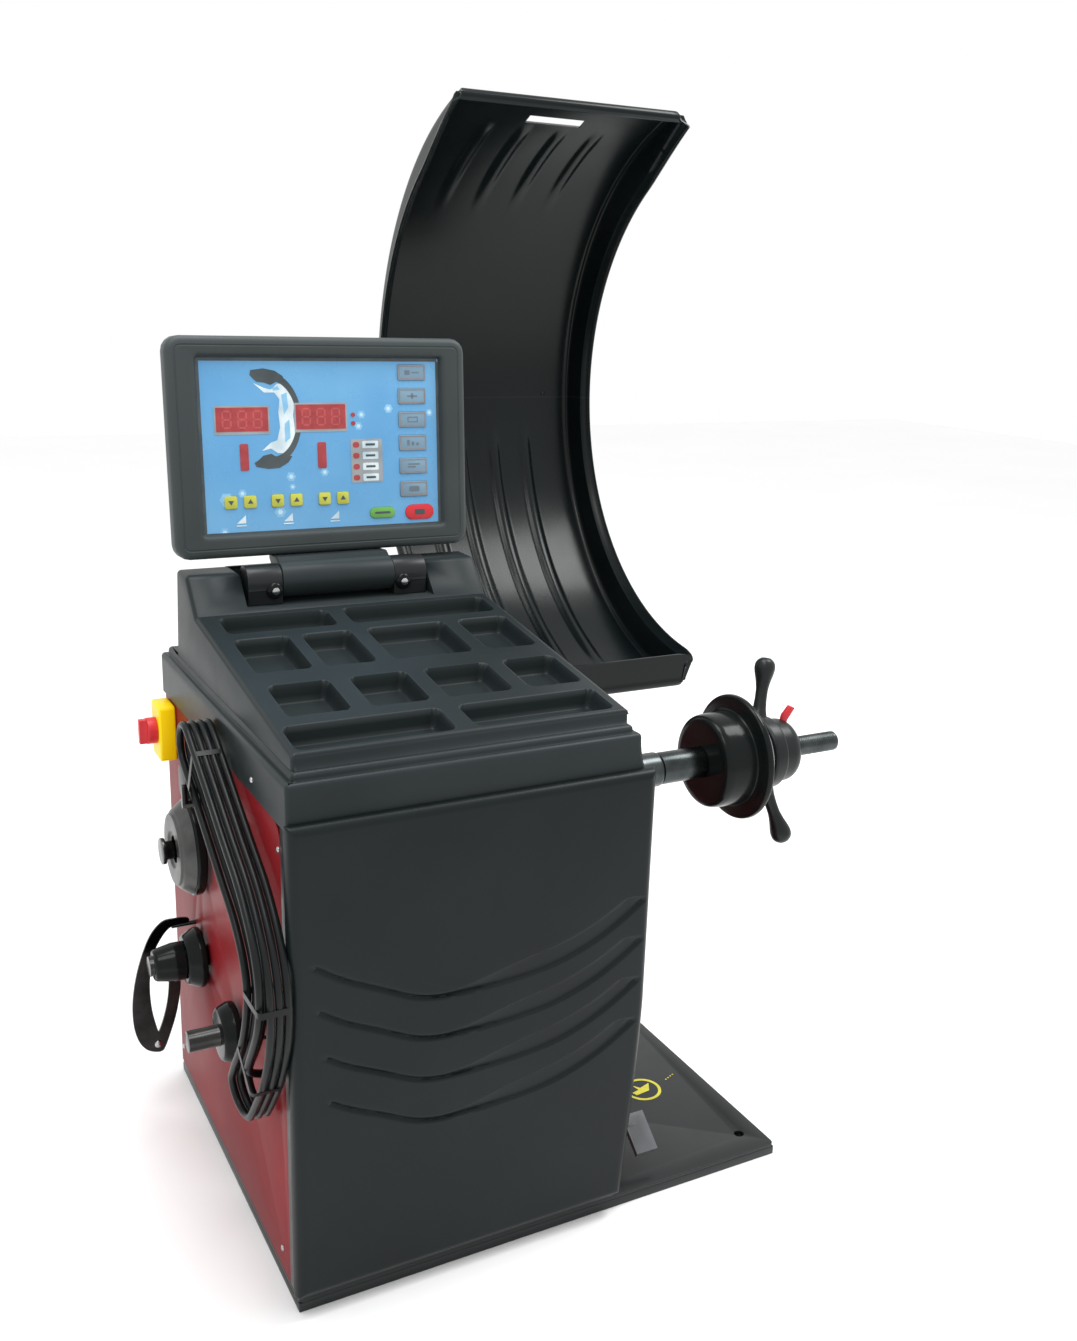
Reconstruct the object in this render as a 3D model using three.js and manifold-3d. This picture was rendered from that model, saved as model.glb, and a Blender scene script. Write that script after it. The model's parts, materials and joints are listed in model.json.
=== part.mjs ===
// A workshop wheel balancer, in millimetres: X runs right along the spindle, Y to the back, Z up.
// The origin is on the floor, under the middle of the cabinet.
import * as THREE from "three";
import { mergeVertices } from "three/addons/utils/BufferGeometryUtils.js";
import Module from "manifold-3d";

const wasm = await Module();
wasm.setup();

// ---- Driving dimensions ----
const GAP = 0.3;
const BASE = { left: -275, right: 615, half: 368, frameTop: 16, top: 22.8, rail: 40 };
const CABINET = { half: 275, front: -368, back: 368, bottom: BASE.top + GAP, top: 779.7, sheet: 3 };
const STRIP_END = -327; // the front strip of the cabinet body, where the side panels start
const TRAY = { lip: 279, right: 289, front: -372, back: 377, skirt: 780, lipTop: 850, stepTop: 862, wall: 4 };
const DECK = { half: 264, right: 274, front: [-352, 885], back: [170, 960], slope: Math.atan2(75, 518) };
const LEDGE = { front: [225, 1020], back: [290, 1020], foot: [310, 862] };
const NOTCH = { half: 172, front: 170, back: 280, floor: 965 };
const POCKET_DEPTH = 30;
const SPINDLE = { y: -200, z: 714, shaft: 18, sleeve: 28, end: 822 };
const MOTOR = { y: -20, z: 480, radius: 60, pulley: 20 };
const PULLEY = { from: 8, to: 28, radius: 60 };
const DISPLAY = { y: 222, z: 1003, tilt: 4, half: 272, bottom: 40, top: 417 };
const WINDOW = { half: 220, bottom: 81, top: 381 };
const KEY = { front: 32.6, flange: 41.2, back: 43, clearance: 0.4 };
const HOOD = { y: 297.6, z: 1284.8, radius: 618.6, depth: 77, left: 322, right: 865, flare: 21 };
const HOOD_ANGLES = { bottom: -86, seam: -2.5, top: 74 };
const HOOD_WALL = 4;
const PIVOT = { y: 400, z: 694, shaft: 15, armX: 305, tube: 15 };
const LEFT_WALL = -275;
const PEGS = {
  large: { y: 152, z: 560, radius: 16, end: -335 },
  small: { y: 148, z: 351, radius: 17.5, end: -372 },
  shallow: { y: -74, z: 322, radius: 17.5, end: -360 },
};
const HANK = { from: -333.5, to: -282.5, halfWidth: 43.2 };
const HANK_LINE = [
  [-4, 795],
  [-105, 742],
  [-200, 690],
  [-290, 640],
  [-345, 580],
  [-358, 510],
  [-325, 420],
  [-252, 322],
];
const GLAND = { y: -292, z: 372 };
const CALIPER = { y: 204, thick: 4, x: -352, z: 165, hangerY: 208, hangerZ: 389.5 };
const HOOK = { y: -45, z: 716 };

const finish = (color, roughness, metalness = 0) =>
  new THREE.MeshStandardMaterial({ color, roughness, metalness });
const FINISH = {
  blackPlastic: finish(0x1b1e20, 0.5),
  blackPaint: finish(0x141617, 0.35, 0.2),
  redPaint: finish(0x9c1420, 0.25),
  steel: finish(0xb9bcc0, 0.3, 1),
  castIron: finish(0x3a3c3e, 0.6, 0.8),
  darkSteel: finish(0x26282a, 0.3, 0.8),
  rubber: finish(0x121212, 0.8),
  blue: finish(0x4f9fd6, 0.4),
  greyKey: finish(0x6d8290, 0.5),
  yellow: finish(0xf2c40c, 0.4),
  green: finish(0x2f9a46, 0.4),
  red: finish(0xd2202c, 0.35),
  board: finish(0x2c6b3c, 0.6),
};

// ---- Solids ----
// A closed geometry as a solid with its faces pointing out.
function solid(geometry) {
  const plain = geometry.index ? geometry.toNonIndexed() : geometry;
  const bare = new THREE.BufferGeometry().setAttribute("position", plain.attributes.position);
  const merged = mergeVertices(bare, 1e-3);
  const points = merged.attributes.position;
  const faces = [];
  let volume = 0;
  const [a, b, c] = [new THREE.Vector3(), new THREE.Vector3(), new THREE.Vector3()];
  for (let i = 0; i < merged.index.count; i += 3) {
    const [p, q, r] = [0, 1, 2].map((k) => merged.index.getX(i + k));
    if (p === q || q === r || p === r) continue;
    a.fromBufferAttribute(points, p);
    b.fromBufferAttribute(points, q);
    c.fromBufferAttribute(points, r);
    volume += a.dot(b.cross(c));
    faces.push([p, q, r]);
  }
  const triVerts = new Uint32Array(faces.flatMap(([p, q, r]) => (volume < 0 ? [p, r, q] : [p, q, r])));
  return new wasm.Manifold(new wasm.Mesh({ numProp: 3, vertProperties: points.array, triVerts }));
}

const union = (...solids) => solids.reduce((sum, next) => sum.add(next));

function box(x0, x1, y0, y1, z0, z1) {
  const geometry = new THREE.BoxGeometry(x1 - x0, y1 - y0, z1 - z0);
  return solid(geometry.translate((x0 + x1) / 2, (y0 + y1) / 2, (z0 + z1) / 2));
}

// A round bar along an axis. `at` gives its other two coordinates, and `tip` its radius at the far end.
function rod(axis, from, to, radius, at = [0, 0], tip = radius, sides = 32) {
  const geometry = new THREE.CylinderGeometry(tip, radius, to - from, sides);
  geometry.translate(0, (from + to) / 2, 0);
  if (axis === "x") geometry.rotateZ(-Math.PI / 2).translate(0, at[0], at[1]);
  if (axis === "y") geometry.translate(at[0], 0, at[1]);
  if (axis === "z") geometry.rotateX(Math.PI / 2).translate(at[0], at[1], 0);
  return solid(geometry);
}

// A profile of [x, radius] points turned about the X axis.
function turned(profile, sides = 40) {
  const points = profile.map(([x, radius]) => new THREE.Vector2(radius, x));
  return solid(new THREE.LatheGeometry(points, sides).rotateZ(-Math.PI / 2));
}

const closedRing = (profile, sides) => turned([...profile, profile[0]], sides);

const AXES = {
  x: [[0, 1, 0], [0, 0, 1], [1, 0, 0]],
  y: [[1, 0, 0], [0, 0, 1], [0, 1, 0]],
  z: [[1, 0, 0], [0, 1, 0], [0, 0, 1]],
};

// An outline across an axis, drawn out along it. Across x the points are (y, z), and across y they are (x, z).
function prism(axis, points, from, to) {
  const shape = new THREE.Shape(points.map(([u, v]) => new THREE.Vector2(u, v)));
  const geometry = new THREE.ExtrudeGeometry(shape, { depth: to - from, bevelEnabled: false });
  geometry.translate(0, 0, from);
  const [u, v, w] = AXES[axis].map((row) => new THREE.Vector3(...row));
  return solid(geometry.applyMatrix4(new THREE.Matrix4().makeBasis(u, v, w)));
}

const arcPoints = (y, z, radius, from, to, steps) =>
  Array.from({ length: steps + 1 }, (_, i) => {
    const angle = from + ((to - from) * i) / steps;
    return [y + radius * Math.cos(angle), z + radius * Math.sin(angle)];
  });

// A rectangle with rounded corners, as an outline.
function roundedRect(x0, x1, y0, y1, radius, steps = 4) {
  const corners = [
    [x1 - radius, y1 - radius],
    [x0 + radius, y1 - radius],
    [x0 + radius, y0 + radius],
    [x1 - radius, y0 + radius],
  ];
  return corners.flatMap(([x, y], i) =>
    arcPoints(x, y, radius, (i * Math.PI) / 2, ((i + 1) * Math.PI) / 2, steps),
  );
}

function part(name, made, material) {
  const { vertProperties, triVerts } = made.getMesh();
  const geometry = new THREE.BufferGeometry();
  geometry.setAttribute("position", new THREE.BufferAttribute(new Float32Array(vertProperties), 3));
  geometry.setIndex(new THREE.BufferAttribute(new Uint32Array(triVerts), 1));
  geometry.computeVertexNormals();
  const mesh = new THREE.Mesh(geometry, material);
  mesh.name = name;
  return mesh;
}

function placed(parts, y, z, tiltDegrees = 0) {
  const group = new THREE.Group();
  group.position.set(0, y, z);
  group.rotation.x = THREE.MathUtils.degToRad(tiltDegrees);
  group.add(...parts);
  return group;
}

// ---- Base and cabinet ----
function baseParts() {
  const { left, right, half, frameTop, top, rail } = BASE;
  const windows = [[left + rail, -rail], [rail, 255], [295, right - rail]];
  const frame = windows.reduce(
    (made, [x0, x1]) => made.subtract(box(x0, x1, -half + rail, half - rail, -1, frameTop + 1)),
    box(left, right, -half, half, 0, frameTop),
  );
  const plate = prism("z", roundedRect(left, right, -half, half, 8), frameTop + GAP, top);
  const boltHole = rod("z", 0, top + 1, 9, [573, -318]);
  return [
    part("base_frame", frame, FINISH.blackPaint),
    part("base_plate", plate.subtract(boltHole), FINISH.blackPaint),
  ];
}

function cabinetBody() {
  const { half, front, back, bottom, top, sheet } = CABINET;
  const post = 30;
  const inside = half - sheet - GAP;
  const frontWall = box(-half, half, front, front + sheet, bottom, top);
  const strips = [-1, 1].map((side) =>
    box(Math.min(side * half, side * (half - sheet)), Math.max(side * half, side * (half - sheet)),
      front, STRIP_END - GAP, bottom, top),
  );
  const floor = box(-inside, inside, front, back - 8, bottom, bottom + sheet);
  const floorHole = box(40, 220, -290, -110, bottom - 1, bottom + sheet + 1);
  const posts = [-1, 1].map((side) =>
    box(Math.min(side * inside, side * (inside - post)), Math.max(side * inside, side * (inside - post)),
      back - 8 - post, back - 8, bottom, top - 20),
  );
  return part("cabinet_body", union(frontWall, ...strips, floor, ...posts).subtract(floorHole), FINISH.blackPaint);
}

// A flat side panel with a rounded front top corner. It lies between x0 and x1.
function sidePanelSolid(x0, x1) {
  const { back, bottom, top } = CABINET;
  const radius = 40;
  const corner = arcPoints(STRIP_END + radius, top - radius, radius, Math.PI / 2, Math.PI, 6);
  return prism("x", [[STRIP_END, bottom], [back, bottom], [back, top], ...corner], x0, x1);
}

function sidePanels() {
  const { half, sheet } = CABINET;
  const pegHoles = Object.values(PEGS).map(({ y, z, radius }) => rod("x", -280, -270, radius + 0.5, [y, z]));
  const holes = [
    ...pegHoles,
    rod("x", -280, -270, 6.5, [HOOK.y, HOOK.z]),
    rod("x", -280, -270, 4.5, [CALIPER.hangerY, CALIPER.hangerZ]),
    rod("x", -280, -270, 10.5, [GLAND.y, GLAND.z]),
  ];
  const left = holes.reduce((made, hole) => made.subtract(hole), sidePanelSolid(-half, -half + sheet));
  const right = sidePanelSolid(half - sheet, half)
    .subtract(rod("x", 270, 280, 44, [SPINDLE.y, SPINDLE.z]))
    .subtract(rod("x", 270, 280, 9, [-200, 90]));
  return [
    part("side_panel_left", left, FINISH.redPaint),
    part("side_panel_right", right, FINISH.redPaint),
  ];
}

function rearPanel() {
  const inside = CABINET.half - CABINET.sheet - GAP;
  let made = box(-inside, inside, 364, CABINET.back, CABINET.bottom, CABINET.top);
  for (let row = 0; row < 8; row += 1) {
    const z = 470 + row * 18;
    made = made.subtract(box(-200, -80, 360, 372, z, z + 7));
  }
  return part("rear_panel", made, FINISH.blackPaint);
}

// The moulded front cover: its right edge draws in towards the floor.
function frontPanel() {
  const outline = [[-283, 36], [279, 36], [286, 104], [298, 239], [307, 371], [308, 596], [311, 780]];
  const top = [[303, 789], [291, 793], [-271, 793], [-280, 789]];
  const outer = prism("y", [...outline, ...top], -390, CABINET.front - GAP);
  const hollow = box(-270, 264, -386, CABINET.front, 48, 775);
  const lipRecess = box(-300, 320, TRAY.front - GAP, CABINET.front, CABINET.top - GAP, 800);
  return part("front_panel", outer.subtract(hollow).subtract(lipRecess), FINISH.blackPlastic);
}

// ---- Weight tray ----
const trayProfile = (inset) => [
  [DECK.front[0] + inset, TRAY.lipTop - inset],
  [DECK.front[0] + inset, DECK.front[1] - inset],
  [DECK.back[0] - inset * 0.5, DECK.back[1] - inset],
  [LEDGE.front[0] - inset * 0.3, LEDGE.front[1] - inset],
  [LEDGE.back[0] - inset, LEDGE.back[1] - inset],
  [LEDGE.foot[0] - inset, LEDGE.foot[1]],
  [LEDGE.foot[0] - inset, TRAY.lipTop - inset],
];

function weightTray() {
  const { lip, right, front, back, skirt, lipTop, stepTop, wall } = TRAY;
  const shell = (inset) => {
    const below = inset ? 2 : 0;
    return union(
      box(-lip + inset, right - inset, front + inset, back - inset, skirt - below, lipTop - inset),
      box(-268 + inset, 278 - inset, front + 9 + inset, back - 9 - inset, lipTop - 10, stepTop - inset),
      prism("x", trayProfile(inset), -DECK.half + inset, DECK.right - inset),
    );
  };
  const { half, front: notchFront, back: notchBack, floor } = NOTCH;
  const notchWalls = box(-half - wall, half + wall, notchFront - wall, notchBack + wall, floor - wall, 1100);
  const notch = box(-half, half, notchFront, notchBack, floor, 1100);
  const opening = prism("x", [[0, -40], [514, -40], [514, 40], [0, 40]], -258, 258)
    .rotate([THREE.MathUtils.radToDeg(DECK.slope), 0, 0])
    .translate([0, DECK.front[0] + 5, DECK.front[1] + 0.7]);
  const made = shell(0).subtract(shell(wall).subtract(notchWalls)).subtract(notch).subtract(opening);
  return part("weight_tray", made, FINISH.blackPlastic);
}

// Each row of pockets, from front to back: the span along the deck, the pockets' span and their side edges.
const TRAY_ROWS = [
  { span: [0.3, 98], pockets: [8, 78], edges: [[-250, -12], [24, 250]] },
  { span: [98.3, 240], pockets: [112, 218], edges: [[-229, -134], [-102, -8], [22, 130], [162, 250]] },
  { span: [240.3, 418], pockets: [272, 404], edges: [[-229, -140], [-118, -34], [-4, 134], [164, 250]] },
  { span: [418.3, 513.7], pockets: [434, 502], edges: [[-227, -42], [-14, 250]] },
];

function trayRows() {
  const rows = TRAY_ROWS.map(({ span, pockets, edges }, i) => {
    const insert = box(-257.7, 257.7, span[0], span[1], -POCKET_DEPTH - 3, 0);
    const made = edges.reduce(
      (sum, [x0, x1]) => sum.subtract(box(x0, x1, pockets[0], pockets[1], -POCKET_DEPTH, 1)),
      insert,
    );
    return part(`tray_row_${i + 1}`, made, FINISH.blackPlastic);
  });
  const group = placed(rows, DECK.front[0] + 5, DECK.front[1] + 0.7);
  group.rotation.x = DECK.slope;
  return group;
}

// ---- Spindle ----
function supportPedestal() {
  const { y, z } = SPINDLE;
  const column = box(60, 200, -270, -130, CABINET.bottom, 640).subtract(
    box(66, 194, -264, -136, CABINET.bottom - 1, 634),
  );
  const saddle = box(70, 190, y - 45, y + 45, 639, 705).subtract(rod("x", 60, 200, 42.3, [y, z]));
  const shelf = box(-150, 61, -90, 50, 400, 412);
  const bracket = prism("y", [[60, 300], [60, 401], [-120, 401]], -132, -126);
  const tie = box(-60, 61, -136, -88, 400, 412);
  return part("support_pedestal", union(column, saddle, shelf, bracket, tie), FINISH.castIron);
}

function spindleParts() {
  const { shaft, sleeve, end } = SPINDLE;
  const bore = shaft + 0.4;
  const housing = closedRing([
    [60, 32.4],
    [60, 42],
    [275.5, 42],
    [275.6, 60],
    [283, 60],
    [284, 36],
    [292, 30],
    [430, 30],
    [430, 19],
    [272, 19],
    [272, 32.4],
  ]);
  const bearing = (x) => closedRing([[x, bore], [x, 32], [x + 16, 32], [x + 16, bore]]);
  const shaftSolid = turned([
    [0, 0],
    [0, shaft],
    [430.5, shaft],
    [430.5, sleeve],
    [520, sleeve],
    [520, shaft],
    [end - 6, shaft],
    [end - 1.5, shaft - 3],
    [end, shaft - 8],
    [end, 0],
  ]);
  const bell = closedRing([
    [520.3, bore],
    [520.3, 74],
    [524, 81],
    [530, 83],
    [585, 84],
    [586, 112],
    [597, 112],
    [600, 109],
    [600, 62],
    [612, 60],
    [612, bore],
  ]);
  const pulley = closedRing([[PULLEY.from, bore], [PULLEY.from, 60], [PULLEY.to, 60], [PULLEY.to, bore]], 48);
  return [
    part("spindle_housing", housing, FINISH.castIron),
    part("bearing_rear", bearing(66), FINISH.steel),
    part("bearing_front", bearing(252), FINISH.steel),
    part("spindle_shaft", shaftSolid, FINISH.steel),
    part("bell_flange", bell, FINISH.darkSteel),
    part("driven_pulley", pulley, FINISH.castIron),
  ];
}

const HANDLE = { ring: [640, 668], inner: 57.4, outer: 65, x: 635.8, reach: 175, lean: 15.5, splay: 16 };

// One grip of the quick nut, standing out from the ring at `angle` degrees from straight up.
function nutHandle(angle) {
  const { x, outer, reach, splay } = HANDLE;
  const profile = [[outer - 0.3, 0], [outer - 0.3, 13], [outer + 14, 11], [120, 10], [138, 15], [154, 19], [168, 17]];
  const points = [...profile, [reach, 9], [reach, 0]].map(([z, radius]) => new THREE.Vector2(radius, z));
  const bar = solid(new THREE.LatheGeometry(points, 24).rotateX(Math.PI / 2));
  return bar.rotate([0, splay, 0]).rotate([angle, 0, 0]).translate([x, 0, 0]);
}

function quickNut() {
  const bore = SPINDLE.shaft + 0.5;
  const { ring, inner, outer, lean } = HANDLE;
  const pressure = closedRing([
    [612.4, bore],
    [612.4, 76],
    [616, 80],
    [622, 80],
    [626, 76],
    [628, 66],
    [628, bore],
  ]);
  const nut = closedRing([
    [628.4, bore],
    [628.4, 57],
    [690, 57],
    [700, 54],
    [708, 46],
    [712, 34],
    [712, bore],
  ]).subtract(box(690, 706, -5, 5, 38, 62));
  const handles = union(
    closedRing([[ring[0], inner], [ring[0], outer], [ring[1], outer], [ring[1], inner]]),
    nutHandle(-lean),
    nutHandle(180 - lean),
  );
  const leverOutline = [[692, 40], [704, 40], [704, 54], [720, 76], [708, 82], [694, 66], [692, 60]];
  return [
    part("pressure_ring", pressure, FINISH.steel),
    part("nut_body", nut, FINISH.blackPaint),
    part("nut_handles", handles, FINISH.blackPaint),
    part("nut_release_lever", prism("y", leverOutline, -4.5, 4.5), FINISH.red),
  ];
}

// ---- Drive ----
function motorParts() {
  const { radius, pulley } = MOTOR;
  const body = union(
    closedRing([[-140, 0], [-140, 48], [-132, radius], [-14, radius], [-6, 50], [-6, 6.5], [-40, 6.5], [-40, 0]]),
    box(-120, -30, -45, 45, -67.5, -40),
  );
  const turning = turned([[-30, 0], [-30, 6], [8, 6], [8, pulley], [28, pulley], [28, 6], [32, 6], [32, 0]]);
  return [
    part("motor", body, FINISH.castIron),
    part("motor_pulley", turning, FINISH.steel),
  ];
}

// The outline of a belt round both pulleys, `proud` millimetres outside them.
function beltOutline(proud) {
  const [big, small] = [PULLEY.radius + proud, MOTOR.pulley + proud];
  const across = [MOTOR.y - SPINDLE.y, MOTOR.z - SPINDLE.z];
  const heading = Math.atan2(across[1], across[0]);
  const wrap = Math.acos((big - small) / Math.hypot(...across));
  return [
    ...arcPoints(SPINDLE.y, SPINDLE.z, big, heading + wrap, heading + 2 * Math.PI - wrap, 28),
    ...arcPoints(MOTOR.y, MOTOR.z, small, heading - wrap, heading + wrap, 14),
  ];
}

function driveBelt() {
  const outer = prism("x", beltOutline(3.4), 10, 26);
  const inner = prism("x", beltOutline(0.4), 9, 27);
  return part("drive_belt", outer.subtract(inner), FINISH.rubber);
}

function powerBoard() {
  const made = union(
    box(-235, -45, 340, 343, 220, 440),
    box(-215, -155, 290, 340.5, 240, 300),
    box(-125, -65, 315, 340.5, 240, 330),
    box(-210, -85, 322, 340.5, 360, 400),
    ...[[-225, 230], [-55, 230], [-225, 430], [-55, 430]].map(([x, z]) => rod("y", 342.5, 363.5, 4, [x, z], 4, 12)),
  );
  return part("power_board", made, FINISH.board);
}

// ---- Display ----
const KEYS = {
  function: { x: 170, top: 356, pitch: 42, width: 54, height: 28, count: 6 },
  adjust: { xs: [-154, -71, 15], z: 135, spread: 17, size: 22 },
  start: { x: 107, z: 105, width: 48, height: 20 },
  stop: { x: 180, z: 103, width: 56, height: 27 },
};

// Every key's caps as [x, z, width, height], under the name of its node.
function keyLayout() {
  const { function: column, adjust, start, stop } = KEYS;
  const layout = {};
  for (let i = 0; i < column.count; i += 1) {
    layout[`function_key_${i + 1}`] = [[column.x, column.top - i * column.pitch, column.width, column.height]];
  }
  adjust.xs.forEach((x, i) => {
    layout[`adjust_key_${i + 1}`] = [-1, 1].map((s) => [x + s * adjust.spread, adjust.z, adjust.size, adjust.size]);
  });
  layout.start_key = [[start.x, start.z, start.width, start.height]];
  layout.stop_key = [[stop.x, stop.z, stop.width, stop.height]];
  return layout;
}

function capOutline([x, z, width, height], grow, round) {
  const [w, h] = [width / 2 + grow, height / 2 + grow];
  return roundedRect(x - w, x + w, z - h, z + h, round ? h * 0.96 : 3, round ? 6 : 2);
}

function displayParts() {
  const { half, bottom, top } = DISPLAY;
  const isRound = (name) => name === "stop_key" || name === "start_key";
  const bezel = prism("y", roundedRect(-half, half, bottom, top, 26, 5), 22, 54)
    .subtract(box(-WINDOW.half, WINDOW.half, 20, 34.4, WINDOW.bottom, WINDOW.top))
    .subtract(box(-226.4, 226.4, 33.8, 40.3, 74.6, 387.4))
    .subtract(box(-214, 214, 40, 50, 86, 376));
  const back = prism("y", roundedRect(-255, 255, 55, 400, 20, 4), 54.3, 88).subtract(
    prism("y", roundedRect(-250, 250, 60, 395, 16, 4), 54, 83),
  );
  let panel = box(-226, 226, 34.7, 39.9, 75, 387);
  const keys = [];
  for (const [name, caps] of Object.entries(keyLayout())) {
    const round = isRound(name);
    for (const cap of caps) {
      panel = panel.subtract(prism("y", capOutline(cap, KEY.clearance, round), 30, 45));
    }
    const [x0, x1] = [caps[0][0] - caps[0][2] / 2, caps.at(-1)[0] + caps.at(-1)[2] / 2];
    const [, z, , height] = caps[0];
    const flange = box(x0 - 2, x1 + 2, KEY.flange, KEY.back, z - height / 2 - 2, z + height / 2 + 2);
    const made = union(flange, ...caps.map((cap) => prism("y", capOutline(cap, 0, round), KEY.front, KEY.back)));
    const material = name.startsWith("function") ? FINISH.greyKey
      : name.startsWith("adjust") ? FINISH.yellow
      : name === "start_key" ? FINISH.green : FINISH.red;
    keys.push(part(name, made, material));
  }
  return [
    part("display_bezel", bezel, FINISH.blackPlastic),
    part("display_back", back, FINISH.blackPlastic),
    part("display_panel", panel, FINISH.blue),
    ...keys,
  ];
}

function displayHingeArm() {
  const outline = [[-26, 14], [8, 39.7], [53, 39.7], [53, 32], [29, 8], [0, 0]];
  const made = union(prism("x", outline, -103, 103), rod("x", -103, 103, 31)).subtract(rod("x", -110, 110, 8.5));
  return part("display_hinge_arm", made, FINISH.blackPlastic);
}

function displayHingeMount() {
  const lugs = [[-165, -103.5], [103.5, 165]].map(([x0, x1]) =>
    union(rod("x", x0, x1, 29), box(x0, x1, -26, 26, NOTCH.floor + GAP - DISPLAY.z, 0)),
  );
  return part("display_hinge_mount", union(...lugs, rod("x", -164, 164, 8)), FINISH.blackPaint);
}

// ---- Hood ----
const onHood = (angle, radius) => [
  HOOD.y + radius * Math.cos(THREE.MathUtils.degToRad(angle)),
  HOOD.z + radius * Math.sin(THREE.MathUtils.degToRad(angle)),
];

// A cross-section of [x, radius] points swept about the hood's centre, between two angles in degrees.
function swept(section, from, to, steps) {
  const faces = THREE.ShapeUtils.triangulateShape(section.map(([x, r]) => new THREE.Vector2(x, r)), []);
  const corner = (i, step) => {
    const [x, radius] = section[i];
    return [x, ...onHood(from + ((to - from) * step) / steps, radius)];
  };
  const points = [];
  for (const [a, b, c] of faces) {
    points.push(corner(a, 0), corner(c, 0), corner(b, 0));
    points.push(corner(a, steps), corner(b, steps), corner(c, steps));
  }
  const last = section.length;
  const inOrder = THREE.ShapeUtils.area(section.map(([x, r]) => new THREE.Vector2(x, r))) > 0;
  for (let step = 0; step < steps; step += 1) {
    for (let i = 0; i < last; i += 1) {
      const j = (i + 1) % last;
      const quad = [corner(i, step), corner(j, step), corner(j, step + 1), corner(i, step + 1)];
      const [p, q, r, s] = inOrder ? quad : quad.reverse();
      points.push(p, q, r, p, r, s);
    }
  }
  const geometry = new THREE.BufferGeometry();
  geometry.setAttribute("position", new THREE.Float32BufferAttribute(points.flat(), 3));
  return solid(geometry);
}

const hoodSection = (inset) => {
  const { left, right, flare, radius, depth } = HOOD;
  return [
    [left + inset, radius - depth],
    [right - inset, radius - depth],
    [right - flare - inset, radius - inset],
    [left + flare + inset, radius - inset],
  ];
};

function hoodShell(from, to, endWallAt) {
  const outer = hoodSection(0);
  const inner = hoodSection(HOOD_WALL);
  const steps = 14;
  const open = [outer[0], inner[0], inner[3], inner[2], inner[1], outer[1], outer[2], outer[3]];
  const wall = endWallAt < 0 ? [endWallAt, endWallAt + 0.5] : [endWallAt - 0.5, endWallAt];
  return union(swept(open, from, to, steps), swept(outer, wall[0], wall[1], 1));
}

function hoodParts() {
  const { bottom, seam, top } = HOOD_ANGLES;
  const handSlot = swept([[534, 600], [663, 600], [663, 630], [534, 630]], 64, 66.4, 1);
  const trims = [[75.5, 35], [71, 47], [66, 60], [61, 70]].map(([from, rim]) =>
    swept([[300, 520], [890, 520], [890, HOOD.radius - rim], [300, HOOD.radius - rim]], from - 5.2, from, 1),
  );
  const plate = [[480, 619], [720, 619], [720, 628], [480, 628]];
  const tubeAt = onHood(seam, 640);
  const run = Math.hypot(tubeAt[0] - PIVOT.y, tubeAt[1] - PIVOT.z);
  const lean = THREE.MathUtils.radToDeg(Math.atan2(tubeAt[1] - PIVOT.z, tubeAt[0] - PIVOT.y));
  const bar = rod("y", 0, run, PIVOT.tube, [PIVOT.armX, 0], PIVOT.tube, 24).rotate([lean, 0, 0]);
  const arm = union(
    rod("x", 160, 316, PIVOT.shaft, [PIVOT.y, PIVOT.z]),
    rod("x", PIVOT.armX - 15, 317, 24, [PIVOT.y, PIVOT.z]),
    bar.translate([0, PIVOT.y, PIVOT.z]),
    rod("x", PIVOT.armX - PIVOT.tube, 780, PIVOT.tube, tubeAt, PIVOT.tube, 24),
    swept(plate, seam - 5, seam + 5, 2),
  );
  const upper = hoodShell(seam + 0.03, top, top).subtract(handSlot);
  return [
    part("hood_upper", trims.reduce((sum, trim) => sum.subtract(trim), upper), FINISH.blackPlastic),
    part("hood_lower", hoodShell(bottom, seam - 0.03, bottom), FINISH.blackPlastic),
    part("hood_arm", arm, FINISH.blackPaint),
  ];
}

function hoodPivotBracket() {
  const foot = box(150, 270, 368.3, 375, 640, 748);
  const cheeks = [165, 245].map((x) => box(x, x + 10, 374, 426, 655, 733));
  const shaftHole = rod("x", 150, 270, PIVOT.shaft + 0.4, [PIVOT.y, PIVOT.z]);
  return part("hood_pivot_bracket", union(foot, ...cheeks).subtract(shaftHole), FINISH.blackPaint);
}

// ---- Left side fittings ----
function isolatorParts() {
  const housing = prism("x", roundedRect(290, 355, 670, 772, 6, 2), -305, -275.3);
  const knob = union(
    rod("x", -322, -305.4, 24, [322.5, 722]),
    box(-335, -321, 316, 329, 700, 744),
  );
  return [
    part("isolator_box", housing, FINISH.yellow),
    part("isolator_knob", knob, FINISH.red),
  ];
}

function pegPlate() {
  const pegs = Object.values(PEGS).map(({ y, z, radius, end }) => rod("x", end, -268, radius, [y, z]));
  const cap = rod("x", -341, PEGS.large.end, 23, [PEGS.large.y, PEGS.large.z]);
  const hook = union(
    rod("x", -345, -268, 5.5, [HOOK.y, HOOK.z], 5.5, 16),
    box(-345, -337, HOOK.y - 5, HOOK.y + 5, HOOK.z - 2, HOOK.z + 32),
  );
  const hanger = rod("x", -318, -268, 4, [CALIPER.hangerY, CALIPER.hangerZ], 4, 16);
  const bars = [
    box(-271.5, -266, 120, 216, 300, 600),
    box(-271.5, -266, -110, 121, 300, 345),
    box(-271.5, -266, -65, -20, 344, 735),
  ];
  return part("peg_plate", union(...bars, ...pegs, cap, hook, hanger), FINISH.darkSteel);
}

// A centring cone on a peg: its big end faces the wall.
function cone(name, peg, from, to, wide, narrow, bore) {
  const straight = from - (from - to) * 0.35;
  const profile = [[from, bore], [from, wide], [straight, wide], [to, narrow], [to, bore]];
  const made = closedRing(profile, 40).translate([0, peg.y, peg.z]);
  return part(name, made, FINISH.darkSteel);
}

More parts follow.
